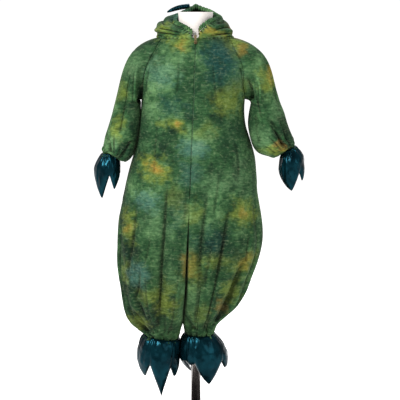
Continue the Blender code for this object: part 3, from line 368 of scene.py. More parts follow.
LEFT_SLEEVE_CREASES = Table(
    CREASE_COLUMNS,
    (-112, 985, -139, 870, -6, 3.0, 4.6, 1.8),
    (-146, 985, -158, 872, -3, 3.2, 2.6, 1.4),
    (-128, 930, -152, 850, 5, 3.0, 2.6, 1.2),
    (-172, 900, -190, 800, 0, 3.2, 2.6, 1.2),
    (-197, 728, -160, 782, 2, 2.8, 4.2, 1.8),
    (-226, 810, -214, 750, 0, 2.8, 3.0, 1.4),
    (-204, 800, -206, 745, 0, 2.6, 2.8, 1.2),
    (-186, 770, -200, 738, 2, 2.6, 2.6, 1.2),
    (-212, 880, -222, 810, 2, 3.4, 1.6, 0.8),
)
RIGHT_SLEEVE_CREASES = Table(
    CREASE_COLUMNS,
    (122, 950, 141, 880, 7, 2.8, 4.6, 1.8),
    (143, 960, 166, 830, -3, 3.2, 2.8, -1.4),
    (178, 828, 223, 766, 6, 2.8, 5.0, 2.0),
    (152, 884, 160, 768, -6, 3.0, 3.2, 1.4),
    (205, 850, 236, 772, 3, 3.0, 3.0, 1.4),
    (172, 800, 214, 756, 4, 2.6, 3.0, 1.4),
    (190, 910, 214, 850, 2, 3.6, 1.6, 0.8),
    (222, 812, 240, 764, 2, 2.6, 3.0, 1.2),
    (160, 776, 200, 748, 3, 2.6, 2.6, 1.2),
)
SLEEVE_BACK_CREASES = Table(
    CREASE_COLUMNS,
    (-148, 950, -175, 800, 4, 3.2, 3.6, 1.6),
    (-200, 850, -214, 750, -3, 3.0, 3.6, 1.6),
    (-174, 800, -205, 742, 3, 2.8, 3.0, 1.4),
    (-130, 920, -148, 860, -2, 3.2, 2.2, 1.0),
    (148, 960, 178, 810, -4, 3.2, 3.6, 1.6),
    (188, 840, 226, 762, 4, 3.0, 3.8, 1.6),
    (220, 840, 238, 770, 0, 2.8, 2.8, 1.2),
    (168, 800, 206, 748, 3, 2.8, 2.8, 1.2),
)

# Creases of the two flanks. They run across the side seams, so X stands for how far back they lie.
LEFT_FLANK_CREASES = Table(
    CREASE_COLUMNS,
    (-58, 600, -26, 284, -4, 3.0, 5.0, 2.0),
    (-16, 520, -12, 280, 3, 2.8, 4.4, 1.8),
    (30, 640, 14, 286, 5, 3.0, 5.0, 2.0),
    (78, 560, 34, 300, 4, 3.2, 4.4, 1.8),
    (2, 780, -8, 610, 4, 3.4, 2.8, 1.2),
    (48, 850, 54, 690, -3, 3.6, 2.4, 1.0),
)
RIGHT_FLANK_CREASES = Table(
    CREASE_COLUMNS,
    (-66, 560, -30, 312, -5, 3.0, 4.8, 2.0),
    (-24, 640, -14, 300, 4, 3.0, 5.0, 2.0),
    (18, 500, 8, 296, 3, 2.8, 4.2, 1.8),
    (62, 600, 24, 304, 6, 3.2, 5.0, 2.0),
    (-8, 800, -2, 650, -4, 3.4, 2.8, 1.2),
    (40, 760, 52, 600, 3, 3.6, 2.4, 1.0),
)

# Creases of the hood, by the angle round the neck and the share of the way from neckline to face edge
HOOD_CREASES = Table(
    "side angle_start share_start angle_end share_end width depth ridge",
    (-1, 16, 0.34, 124, 0.20, 0.050, 5.0, 2.4),
    (-1, 24, 0.62, 92, 0.46, 0.045, 3.4, 1.6),
    (-1, 62, 0.82, 146, 0.66, 0.050, 3.4, 1.6),
    (-1, 96, 0.44, 170, 0.38, 0.060, 4.0, 2.0),
    (-1, 40, 0.13, 130, 0.09, 0.040, 2.8, 1.2),
    (1, 14, 0.28, 110, 0.24, 0.055, 5.2, 2.4),
    (1, 30, 0.56, 100, 0.52, 0.050, 3.6, 1.8),
    (1, 50, 0.80, 140, 0.72, 0.050, 3.0, 1.4),
    (1, 104, 0.36, 172, 0.46, 0.060, 4.2, 2.0),
    (1, 36, 0.12, 120, 0.10, 0.040, 2.6, 1.2),
)

# Dye blotches on the front, the first four of them painted shade: where each lies, how far it reaches, which
# of the dye colours it has and how strongly. Colours: 0 lime, 1 ochre, 2 teal, 3 blue-grey, 4 sage, 5 deep
# green.
DYES = ("#748130", "#97672a", "#173f3b", "#42685f", "#587a52", "#12301f")
BLOTCHES = Table(
    "x z reach_x reach_z colour strength",
    # Painted shadow under the left sleeve's pouch, then painted shade beside the fold at the left ankle
    (-172, 758, 16, 14, 5, 0.9),
    (-182, 748, 16, 10, 5, 0.7),
    (-174, 326, 12, 24, 5, 0.6),
    (-150, 294, 14, 15, 5, 0.6),
    (36, 1052, 26, 9, 1, 0.85),
    (44, 1046, 40, 16, 0, 0.7),
    (-36, 1022, 22, 14, 0, 0.8),
    (-32, 1016, 9, 7, 1, 0.5),
    (100, 1016, 26, 24, 0, 0.85),
    (118, 1004, 12, 16, 1, 0.45),
    (-88, 1070, 24, 26, 0, 0.75),
    (-110, 1056, 12, 12, 1, 0.25),
    (186, 946, 10, 20, 1, 0.8),
    (180, 930, 22, 30, 0, 0.7),
    (206, 860, 20, 26, 4, 0.6),
    (190, 758, 24, 12, 0, 0.8),
    (206, 772, 14, 12, 1, 0.55),
    (164, 790, 20, 22, 4, 0.6),
    (-192, 812, 16, 26, 0, 0.75),
    (-186, 900, 16, 24, 0, 0.55),
    (-150, 960, 22, 30, 4, 0.7),
    (-208, 770, 14, 14, 4, 0.6),
    (80, 880, 36, 26, 0, 0.6),
    (104, 920, 22, 18, 0, 0.5),
    (-56, 820, 26, 16, 0, 0.75),
    (-52, 820, 9, 7, 1, 0.6),
    (-102, 716, 32, 28, 0, 0.8),
    (-102, 716, 16, 14, 1, 0.8),
    (-170, 566, 16, 34, 0, 0.7),
    (-172, 562, 9, 12, 1, 0.4),
    (116, 600, 34, 26, 0, 0.75),
    (118, 600, 12, 12, 1, 0.4),
    (126, 478, 14, 20, 1, 0.75),
    (122, 470, 26, 30, 0, 0.6),
    (-180, 440, 10, 26, 0, 0.7),
    (-26, 470, 8, 26, 1, 0.6),
    (-10, 472, 12, 24, 1, 0.35),
    (-4, 460, 26, 36, 0, 0.45),
    (-76, 374, 22, 40, 0, 0.75),
    (-120, 394, 22, 18, 0, 0.45),
    (-8, 606, 20, 24, 0, 0.5),
    (54, 482, 26, 18, 0, 0.55),
    (90, 400, 22, 26, 0, 0.7),
    (66, 352, 14, 20, 1, 0.4),
    (-148, 312, 20, 22, 0, 0.7),
    (18, 330, 20, 30, 0, 0.4),
    (60, 1000, 34, 32, 2, 0.95),
    (72, 960, 40, 40, 2, 0.85),
    (18, 940, 26, 34, 5, 0.6),
    (-16, 900, 24, 40, 5, 0.5),
    (-60, 868, 34, 24, 2, 0.6),
    (-84, 946, 30, 30, 3, 0.55),
    (-74, 966, 40, 22, 4, 0.45),
    (96, 800, 36, 30, 5, 0.7),
    (0, 768, 30, 22, 3, 0.7),
    (-14, 700, 26, 26, 3, 0.4),
    (-120, 630, 28, 24, 3, 0.7),
    (-150, 440, 24, 34, 3, 0.8),
    (-96, 572, 34, 30, 4, 0.5),
    (60, 676, 40, 24, 4, 0.65),
    (40, 530, 40, 34, 2, 0.55),
    (104, 512, 28, 30, 5, 0.6),
    (-40, 610, 24, 40, 2, 0.45),
    (-66, 470, 26, 60, 5, 0.5),
    (-134, 800, 16, 40, 5, 0.5),
    (120, 700, 20, 50, 4, 0.4),
    (-136, 860, 24, 24, 4, 0.35),
    (-50, 640, 20, 26, 0, 0.3),
    (24, 810, 22, 20, 0, 0.3),
)

# How the padded claw covers are shaped: how far round the cuff they reach, in degrees, how far they
# stand out in front, over which drop they swell, and how thick and how pinched their stuffing is
COVER_SIZES = {
    "foot": {
        "wrap": 122.0,
        "front": 50.0,
        "over": 62.0,
        "stuffing": 17.0,
        "shoulder": 0.7,
        "valley": 0.3,
        "tuck": 12.0,
    },
    "hand": {
        "wrap": 118.0,
        "front": 32.0,
        "over": 36.0,
        "stuffing": 13.0,
        "shoulder": 0.3,
        "valley": 0.8,
        "tuck": 5.0,
    },
}
# Each cover, the casing it hangs from, its claws and kind, how far down the claws part, and how far it
# swells to the left and to the right
COVERS = (
    ("foot_cover_left", "ankle_casing_left", LEFT_FOOT_CLAWS, "foot", 64.0, 54.0, 43.0),
    ("foot_cover_right", "ankle_casing_right", RIGHT_FOOT_CLAWS, "foot", 56.0, 43.0, 67.0),
    ("hand_cover_left", "wrist_casing_left", LEFT_HAND_CLAWS, "hand", 49.0, 34.0, 21.0),
    ("hand_cover_right", "wrist_casing_right", RIGHT_HAND_CLAWS, "hand", 46.0, 28.0, 27.0),
)

# Tables that belong together, by side or for the front and the back
LEGS = {LEFT: LEFT_LEG, RIGHT: RIGHT_LEG}
SLEEVES = {LEFT: LEFT_SLEEVE, RIGHT: RIGHT_SLEEVE}
HOODS = {LEFT: LEFT_HOOD, RIGHT: RIGHT_HOOD}
FRONT = (FRONT_FOLDS, FRONT_CREASES)
BACK = (BACK_FOLDS, BACK_CREASES)
SLEEVE_FRONTS = {
    LEFT: (LEFT_SLEEVE_FOLDS, LEFT_SLEEVE_CREASES),
    RIGHT: (RIGHT_SLEEVE_FOLDS, RIGHT_SLEEVE_CREASES),
}
SLEEVE_BACK = (SLEEVE_BACK_FOLDS, SLEEVE_BACK_CREASES)

# The body's and the sleeves' rings are superellipses of these powers.
BODY_POWER = 2.3
SLEEVE_POWER = 2.2
# A leg's columns of points lie 22 steps apart from the inseam to the side seam, 6 of them inside.
LEG_STEPS = 22
INNER_STEPS = 6
# How far an elastic draws its casing in, as a share of the cuff
ELASTIC = 0.93
# How far a cover's top edge lies inside its frill's hem, and how far it reaches up under it
COVER_INSET = 4.6
COVER_UNDER = 6.0

CAMERA_PLACE = (0.0112, -2.8, 1.1)
CAMERA_DOWN = 9.77
CAMERA_LENS = 98.352
SENSOR_WIDTH = 36.0
# Each lamp's name, place in metres, power in watts and width in metres, and the point they face
LAMPS = (
    ("key", (-1.6, -1.9, 2.5), 100, 0.8),
    ("fill", (1.9, -1.9, 1.5), 20, 1.4),
    ("top", (0.3, 1.1, 2.8), 40, 1.4),
)
LAMPS_FACE = (0.0, 0.0, 0.75)
FLOOR_REACH = 30000.0
FLOOR_BELOW = 0.6


# Shapes that several pieces share


def powered(value, power):
    """The value raised to a power with its sign kept, as a superellipse needs."""
    return np.sign(value) * np.abs(value) ** power


def ease(value):
    """A smooth step from 0 to 1: 3v^2 - 2v^3."""
    value = np.clip(value, 0.0, 1.0)
    return value * value * (3 - 2 * value)


def vectors(x, y, z):
    """Points or directions from their X, Y and Z, each an array or one number."""
    return np.stack(np.broadcast_arrays(x, y, z), axis=-1)


def unit(directions, least=0.0):
    """Directions made 1 long, or shorter where they were shorter than the least length."""
    return directions / np.maximum(np.linalg.norm(directions, axis=-1, keepdims=True), least)


def curve(t, start, end, leave, arrive):
    """A cubic curve from its start to its end, which leaves and arrives with these slopes."""
    path = (2 * t**3 - 3 * t**2 + 1) * start + (3 * t**2 - 2 * t**3) * end
    return path + (t**3 - 2 * t**2 + t) * leave + (t**3 - t**2) * arrive


def wander(points, size, seed):
    """A smooth random field from -1 to 1: random values on a lattice of these cell sizes in
    millimetres, joined by smooth steps."""
    cells = points / np.asarray(size, float)
    low = np.floor(cells).astype(np.int64)
    part = ease(cells - low)
    total = np.zeros(points.shape[:-1])
    for corner in np.ndindex(2, 2, 2):
        i, j, k = (low[..., n] + corner[n] for n in range(3))
        mixed = (i * 73856093) ^ (j * 19349663) ^ (k * 83492791) ^ (seed * 2654435761)
        mixed = (mixed ^ (mixed >> 13)) * 1274126177 & 0x7FFFFFFF
        value = ((mixed ^ (mixed >> 16)) & 0xFFFF) / 32767.5 - 1
        weight = np.ones_like(total)
        for n in range(3):
            weight = weight * (part[..., n] if corner[n] else 1 - part[..., n])
        total += value * weight
    return total


def beside_fold(points, fold, fade_in, fade_out, axis=0):
    """How far points lie beside a fold's bowed line, and how strong the fold is there. It is eased in
    over its first share and out over its last, and is 0 past its ends."""
    share = (fold["z_top"] - points[..., 2]) / (fold["z_top"] - fold["z_bottom"])
    middle = fold["x_top"] + (fold["x_bottom"] - fold["x_top"]) * share
    middle = middle + fold["bow"] * np.sin(np.pi * share)
    return points[..., axis] - middle, ease(share / fade_in) * ease((1 - share) / fade_out)


def fold_depth(points, table):
    """How deep the table's broad folds are at these points: the sum of each fold's depth times a
    bell across its line."""
    depth = np.zeros(points.shape[:-1])
    for fold in table.rows():
        across, strength = beside_fold(points, fold, 0.4, 0.12)
        depth += fold["depth"] * strength * np.exp(-((across / fold["width"]) ** 2))
    return depth


def crease_depth(points, table, axis=0):
    """How deep the table's sharp creases are: a narrow valley whose walls fall off exponentially,
    less a rounder ridge beside it, faded at both ends. They lie across X, or on a flank across Y."""
    depth = np.zeros(points.shape[:-1])
    waver = 2.2 * wander(points, (60, 200, 60), 5)
    for fold in table.rows():
        across, strength = beside_fold(points, fold, 0.45, 0.1, axis)
        across = across - waver
        ridge_at = math.copysign(2.6 * fold["width"], fold["ridge"])
        valley = np.exp(-((np.abs(across) / fold["width"]) ** 1.3))
        ridge = np.exp(-(((across - ridge_at) / (2.0 * fold["width"])) ** 2))
        depth += strength * (fold["depth"] * valley - abs(fold["ridge"]) * ridge)
    return depth


def crease_shade(points, tables):
    """Painted shade: how much darker the colour is painted in a pair of tables' broad folds and creases,
    from 0 to 1.
    """
    folds, creases = tables
    valley = np.clip(crease_depth(points, creases) / 3.2, 0, 1)
    broad = np.clip(fold_depth(points, folds) / 13, 0, 1)
    return valley * 0.5 + broad * 0.4


def crumple(points):
    """How far loose cloth wanders in and out: long soft swells and short flat crinkles."""
    swell = 1.5 * wander(points, (46, 60, 120), 11) + 0.7 * wander(points, (20, 30, 54), 12)
    return swell + 0.35 * wander(points, (26, 26, 9), 13)


def flank_depth(points, outward):
    """How deep the creases of the flanks are, where the body turns to its left or right side."""
    turned_out = np.clip((np.abs(outward[..., 0]) - 0.45) * 2.4, 0, 1)
    turned_out = turned_out * (outward[..., 0] * np.sign(points[..., 0] + 15) > 0)
    left, right = (crease_depth(points, t, 1) for t in (LEFT_FLANK_CREASES, RIGHT_FLANK_CREASES))
    return turned_out * np.where(points[..., 0] < -15, left, right)


def hung(points, outward, back, free):
    """Points of a panel moved in and out by its folds, creases and crumples. They fade where the
    panel turns to the side, so that the front and the back meet, and where it isn't free to move."""
    size = bpy.context.scene.costume_sizes
    folds, creases = BACK if back else FRONT
    fade = np.minimum(np.abs(outward[..., 1]) * 1.6, 1.0)
    depth = 1.5 * fold_depth(points, folds) + 1.6 * size.crease_depth * crease_depth(points, creases)
    depth = depth * fade + size.crumple * crumple(points) * (0.12 + 0.88 * fade)
    depth = depth + 1.3 * size.crease_depth * flank_depth(points, outward)
    return points - outward * (depth * free)[..., None]


def gather(turn, count):
    """How far a gathered edge stands out at this share of a turn. No two gathers are alike."""
    return np.cos(2 * np.pi * count * turn) * (0.8 + 0.35 * np.sin(2 * np.pi * 3 * turn + 1))


def raglan_angle(row):
    """The angle at which the raglan seam crosses a row of the yoke."""
    return np.arcsin(np.clip(row["raglan"], 0, 1) ** (BODY_POWER / 2))


def body_surface(z, side, back, angle):
    """Points of the body with its folds: in each row a superellipse. The angle runs from the middle of
    the front or back, 0, to the side, a right angle."""
    row = BODY.at(z)
    reach = np.abs((row["right"] if side > 0 else row["left"]) - row["mid"])
    depth = row["back"] if back else row["front"]
    facing = 1 if back else -1
    across, along = (powered(f(angle), 2 / BODY_POWER) for f in (np.sin, np.cos))
    rise = row["rise"] * np.cos(angle) if back else 0.0
    points = vectors(row["mid"] + side * reach * across, facing * depth * along, z + rise)
    outward = unit(vectors(side * across / reach, facing * along / depth, 0.0))
    # The cloth lies calm beside the zip.
    beside = np.abs(points[..., 0] - row["mid"]) / 9
    free = 1.0 if back else 1 - 0.8 * np.exp(-(beside**2))
    return hung(points, outward, back, free)


def ankle_height(side):
    """The height of the lowest row of a leg."""
    return LEGS[side].values[-1][0]


def leg_angle(z, column):
    """The angle of a column of the leg, 0 at the inseam and half a turn at the side seam. Above the
    crotch seam's lowest point the inner columns start at the seam, a half ellipse."""
    share = ease((CROTCH - z) / (CROTCH - 260))
    split = np.pi / 2 + (np.pi * INNER_STEPS / LEG_STEPS - np.pi / 2) * share
    height = np.clip((z - CROTCH) / (CROTCH_TOP - CROTCH), 0, 1)
    start = np.sqrt(1 - (1 - height) ** 2)
    along = start + (1 - start) * np.clip(column / INNER_STEPS, 0, 1) ** 1.5
    above = np.arcsin(np.clip(along, 0, 1) ** (2.6 / 2))
    inner = np.where(z > CROTCH, above, split * column / INNER_STEPS)
    outer = split + (np.pi - split) * (column - INNER_STEPS) / (LEG_STEPS - INNER_STEPS)
    return np.where(column < INNER_STEPS, inner, outer)


def leg_surface(z, side, back, column):
    """Points of one leg: in each row two half superellipses, a flatter one on the inside, with
    gathers that grow towards the ankle."""
    row = LEGS[side].at(z)
    # Where the legs lie on each other their inner sides share one line.
    shared_line = (LEFT_LEG.at(z)["inner"] + RIGHT_LEG.at(z)["inner"]) / 2
    row["inner"] = row["inner"] + (shared_line - row["inner"]) * ease((z - 282) / 24)
    angle = leg_angle(z, column)
    width = np.abs(row["outer"] - row["inner"])
    widest = row["inner"] + side * width * row["share"]
    inner_half = np.cos(angle) > 1e-9
    reach = np.where(inner_half, width * row["share"], width * (1 - row["share"]))
    depth = row["back"] if back else row["front"]
    squarer = 2.3 + 4.7 * ease((0.5 - row["share"]) / 0.25)
    power = np.where(inner_half, 2 / squarer, 2 / BODY_POWER)
    free = 1 - np.maximum(0.0, np.cos(angle)) ** 0.5 * np.clip((z - 268) / 40, 0, 1)
    turn = column / LEG_STEPS / 2
    turn = 1 - turn if back else turn
    above = z - ankle_height(side)
    out = 1.25 * row["fold"] * gather(turn, 11) * free
    out += 1.8 * np.exp(-above / 42) * gather(turn + 0.05, 17) * free
    uneven = 0.7 + 0.5 * np.cos(2 * np.pi * 5 * turn)
    out += 1.7 * np.exp(-above / 16) * gather(turn + 0.01, 37) * uneven
    across, along = powered(np.cos(angle), power), powered(np.sin(angle), power)
    facing = 1 if back else -1
    x = widest - side * (reach + out * (reach > 0)) * across
    y = (depth + out) * along * facing
    apart = 0.03 * np.clip((CROTCH_TOP - z) / 28, 0, 1)
    bow = 3.6 * np.clip((z - 290) / 60, 0, 1)
    x = np.where(inner_half, x + side * apart - bow * (1 - along**2), x)
    height = z + np.tan(np.radians(row["tilt"])) * side * (x - widest)
    outward = unit(vectors(-side * across / np.maximum(reach, 20), y / depth**2, 0.0))
    return hung(vectors(x, y, height), outward, back, free)


def seam_dip(points, distance, centre):
    """Points near a seam drawn towards the garment's middle, 0.9 mm at the seam and less with each
    3 mm away from it."""
    inward = unit((centre - points) * (1, 1, 0), 1.0)
    return points + inward * (0.9 * np.exp(-((distance / 3.0) ** 2)))[..., None]


def panel_grids(side, back, rows, columns):
    """The two grids of a body panel: the main one from the neckline to the ankle, and the inside of
    the leg from the crotch seam down. Both share their points down the leg's inner corner."""
    end = ankle_height(side)
    upper = np.linspace(NECKLINE, CROTCH_TOP, rows // 2)
    lower = np.linspace(CROTCH_TOP, end, rows - rows // 2 + 1)
    share = np.linspace(0, 1, columns + 1)
    z, t = np.meshgrid(upper, share, indexing="ij")
    angle = t * np.where(z >= ARMPIT, raglan_angle(BODY.at(z)), np.pi / 2)
    body = body_surface(z, side, back, angle)
    z, t = np.meshgrid(lower[1:], share, indexing="ij")
    legs = leg_surface(z, side, back, INNER_STEPS + (LEG_STEPS - INNER_STEPS) * t)
    main = np.concatenate([body, legs])
    z, column = np.meshgrid(lower, np.linspace(0, INNER_STEPS, columns // 5 + 1), indexing="ij")
    inner = leg_surface(z, side, back, column)
    inner[:, -1] = np.concatenate([main[len(upper) - 1 : len(upper)], legs])[:, 0]
    inner[0] = inner[0, -1]
    heights = np.concatenate([upper, lower[1:]])
    # The seams down the middle and the side, and the raglan seam, lie a little sunk.
    steps = np.linalg.norm(np.diff(main, axis=1), axis=-1)
    gone = np.concatenate([np.zeros((len(main), 1)), np.cumsum(steps, axis=1)], axis=1)
    centre = np.array((side * 70.0, 0, 0))
    above = heights[:, None] > CROTCH_TOP
    distance = np.where(above, np.minimum(gone, gone[:, -1:] - gone), gone[:, -1:] - gone)
    main = seam_dip(main, distance, centre)
    inner[:, -1] = main[len(upper) - 1 :, 0]
    inner[0] = inner[0, -1]
    return main, inner


def raglan_loop(side, count):
    """The seam that a sleeve is sewn to, from the armpit up the front, over the neckline and down the
    back, in sixteenths: 6 in front, 4 over the neckline and 6 at the back."""
    c = np.arange(count) * 16 / count
    heights = (880, 900, 925, 953, 980, 1008, 1034)
    z_front, z_back = np.interp(c, range(7), heights), np.interp(16 - c, range(7), heights)
    front = body_surface(z_front, side, False, raglan_angle(BODY.at(z_front)))
    back = body_surface(z_back, side, True, raglan_angle(BODY.at(z_back)))
    seam = float(raglan_angle(BODY.at(np.array(NECKLINE))))
    over = seam + (np.pi - 2 * seam) * np.clip((c - 6) / 4, 0, 1)
    top = np.full_like(c, NECKLINE)
    over_front = body_surface(top, side, False, np.minimum(over, np.pi / 2))
    over_back = body_surface(top, side, True, np.minimum(np.pi - over, np.pi / 2))
    over_top = np.where((over <= np.pi / 2)[:, None], over_front, over_back)
    c = c[:, None]
    return np.where(c <= 6, front, np.where(c < 10, over_top, back))


def sleeve_folded(points, centre, side, strength):
    """Points of a sleeve moved in and out from its middle by the sleeve's folds and creases."""
    size = bpy.context.scene.costume_sizes
    outward = unit((points - centre) * (1, 1, 0), 1.0)
    ahead = points[..., 1] < centre[..., 1]
    fade = np.minimum(np.abs(outward[..., 1]) * 1.6, 1.0)
    pairs = (SLEEVE_FRONTS[side], SLEEVE_BACK)
    broad = np.where(ahead, *(fold_depth(points, folds) for folds, _ in pairs))
    sharp = np.where(ahead, *(crease_depth(points, creases) for _, creases in pairs))
    depth = (1.4 * broad + 1.5 * size.crease_depth * sharp) * fade
    depth = depth + size.crumple * crumple(points) * (0.2 + 0.8 * fade)
    return points - outward * (depth * strength)[..., None]


def sleeve_ring(step, side, count):
    """Rings of a sleeve at these steps down it: superellipses, turned up at their outer end, with
    gathers that grow towards the wrist."""
    row = SLEEVES[side].at(step[:, None] + np.zeros(count))
    turn = np.arange(count) / count
    angle = 2 * np.pi * turn
    tilt = np.radians(row["tilt"])
    centre = vectors(row["x"], row["y"], row["z"])
    outward = vectors(side * np.cos(tilt), 0.0, np.sin(tilt))
    free = 1 - np.maximum(0.0, np.cos(angle)) * np.clip((row["z"] - 755) / 10, 0, 1)
    out = row["fold"] * gather(turn, 8) * free
    out = out + 1.5 * ease((step[:, None] - 5.5) / 2.5) * gather(turn + 0.02, 27)
    along = (row["half_width"] + out) * powered(np.cos(angle), 2 / SLEEVE_POWER)
    across = (row["half_depth"] + out) * powered(np.sin(angle), 2 / SLEEVE_POWER)
    ring = centre - outward * along[..., None]
    ring[..., 1] -= across
    strength = (1 - 0.9 * ease((step[:, None] - 6.4) / 1.6)) * (0.15 + 0.85 * free)
    return sleeve_folded(ring, centre, side, strength)


def sleeve_grid(side, head_rows, arm_rows, count):
    """A sleeve: from the raglan seam to the first ring each column is a cubic curve, and below it the
    rings follow the table of steps."""
    start = raglan_loop(side, count)
    first, second = sleeve_ring(np.array([0.0, 1.0]), side, count)
    reach = np.linalg.norm(first - start, axis=-1, keepdims=True)
    lift = 1.5 if side > 0 else 1.3
    leave = np.array((side, 0, -0.2)) * reach * lift
    arrive = unit(second - first) * reach * 1.25
    t = np.linspace(0, 1, head_rows)[:, None, None]
    head = curve(t, start, first, leave, arrive)
    centre = head.mean(axis=1, keepdims=True) + np.zeros_like(head)
    strength = ease(t[..., 0] * 2.5) * ease((1 - t[..., 0]) * 6) + np.zeros(count)
    head = sleeve_folded(head, centre, side, strength)
    steps = np.linspace(0, 8, arm_rows)[1:]
    grid = np.concatenate([head, sleeve_ring(steps, side, count)])
    gone = np.linalg.norm(grid - start, axis=-1)
    return seam_dip(grid, gone, centre[:1, :1])


def cuff_frame(ring):
    """The centre of a cuff and the axis that points out of it, from points a quarter turn apart."""
    centre = ring.mean(axis=0)
    axis = unit(np.cross(ring[0] - centre, ring[len(ring) // 4] - centre))
    return centre, axis if axis[2] < 0 else -axis


def ankle_ring(side, count):
    """The lowest row of one leg as a closed ring, and the ankle's centre and axis."""
    row = LEGS[side].at(ankle_height(side))
    column = LEG_STEPS * (1 - np.abs(np.arange(count) / count * 2 - 1))
    z = np.full(count, ankle_height(side))
    front, back = (leg_surface(z, side, b, column) for b in (False, True))
    ring = np.where((np.arange(count) < count / 2)[:, None], front, back)
    tilt = math.radians(float(row["tilt"]))
    axis = np.array((side * math.sin(tilt), 0, -math.cos(tilt)))
    middle = (ring.min(axis=0) + ring.max(axis=0)) / 2
    return ring, np.array((middle[0], middle[1], float(row["z"]))), axis


def cuff(word, count):
    """A cuff's ring, centre, axis, frill length and flare, for wrist_left and the like."""
    limb, side_word = word.split("_")
    side = LEFT if side_word == "left" else RIGHT
    if limb == "ankle":
        return (*ankle_ring(side, count), 11.0, 1.05)
    ring = sleeve_ring(np.array([8.0]), side, count)[0]
    return (ring, *cuff_frame(ring), 11.0, 1.13)


def cuff_grid(word, count, rows):
    """An elastic casing with a frill: the ring drawn in at the elastic, then flaring out, with gathers
    that deepen towards both edges."""
    ring, centre, axis, reach, flare = cuff(word, count)
    s = np.linspace(0, 1, rows)[:, None]
    scale = 1 + (ELASTIC - 1) * ease(s / 0.45) + (flare - ELASTIC) * ease((s - 0.45) / 0.55)
    turn = np.arange(count) / count
    pinch = 1.3 * (0.25 + np.abs(s - 0.45) * 1.6) * ease(s * 6)
    waves = gather(turn, 29) + 0.5 * gather(turn + 0.3, 47)
    radial = ring - centre
    length = np.linalg.norm(radial, axis=-1, keepdims=True)
    grid = centre + radial * scale[..., None] + axis * (reach * s)[..., None]
    ribs = 0.5 * np.sin(s * 6 * np.pi) * (s < 0.66)
    return grid + (radial / length) * (pinch * waves + ribs)[..., None]


def neckline_points(side, angle):
    """Points of the neckline at these angles in degrees, 0 at the front and 180 at the back."""
    z = np.full(np.shape(angle), NECKLINE)
    turn = np.radians(angle)
    front = body_surface(z, side, False, np.minimum(turn, np.pi / 2))
    back = body_surface(z, side, True, np.minimum(np.pi - turn, np.pi / 2))
    return np.where((turn <= np.pi / 2)[..., None], front, back)


def grid_normals(grid, inside):
    """Unit normals of a grid of points, from its slopes along both parameters, turned away from a
    point inside."""
    normals = unit(np.cross(np.gradient(grid, axis=0), np.gradient(grid, axis=1)), 1e-9)
    away = ((grid - inside) * normals).sum(axis=-1, keepdims=True)
    return normals * np.sign(away)


def hood_grid(side, rows, columns):
    """One half of the hood. Each column is a cubic curve from the neckline, over two bulges, to the
    face edge. Creases run round the neck between the two."""
    size = bpy.context.scene.costume_sizes
    t, angle = np.meshgrid(np.linspace(0, 1, rows), np.linspace(0, 180, columns + 1), indexing="ij")
    key = HOODS[side].at(np.maximum(angle, HOOD_FRONT))
    a = np.radians(angle)
    outward = vectors(side * np.sin(a), -np.cos(a), 0.0)
    up = np.array((0, 0, 1.0))
    start = neckline_points(side, angle)
    share = np.clip(angle / HOOD_FRONT, 0, 1)[..., None]
    edge = vectors(side * key["edge_x"], key["edge_y"], key["edge_z"])
    edge = start + (edge - start) * share
    low = start + share * (outward * key["low_out"][..., None] + up * key["low_up"][..., None])
    high = edge + share * (outward * key["high_out"][..., None] + up * key["high_up"][..., None])
    s = t[..., None]
    grid = (1 - s) ** 3 * start + 3 * s * (1 - s) ** 2 * low + 3 * s**2 * (1 - s) * high + s**3 * edge
    normals = grid_normals(grid, np.array((0, 0, 1060.0)))
    fade = ease(t * 7) * ease((1 - t) * 9) * ease((180 - angle) / 14) * ease(angle / 12)
    depth = np.zeros_like(t)
    for fold in HOOD_CREASES.rows():
        if fold["side"] != side:
            continue
        u = (angle - fold["angle_start"]) / (fold["angle_end"] - fold["angle_start"])
        middle = fold["share_start"] + (fold["share_end"] - fold["share_start"]) * u
        middle = middle + 0.03 * np.sin(angle / 17.0 + fold["depth"])
        across = (t - middle) / fold["width"]
        strength = ease(u / 0.3) * ease((1 - u) / 0.25) * ((u > 0) & (u < 1))
        valley, ridge = np.exp(-np.abs(across) ** 1.4), np.exp(-(((across - 2.2) / 1.5) ** 2))
        depth += strength * (fold["depth"] * valley - fold["ridge"] * ridge)
    depth = 1.4 * size.crease_depth * depth + size.crumple * crumple(grid)
    grid = grid - normals * (fade * depth)[..., None]
    # Short gathers run from the neckline's and the face edge's seams into the cloth.
    turn = angle / 360
    near = np.exp(-t * 14) + 1.3 * np.exp(-(1 - t) * 9)
    pleat = 1.3 * gather(turn, 51) * near * ease((180 - angle) / 6) * ease(angle / 8) * ease(t * 40)
    return grid + normals * pleat[..., None]


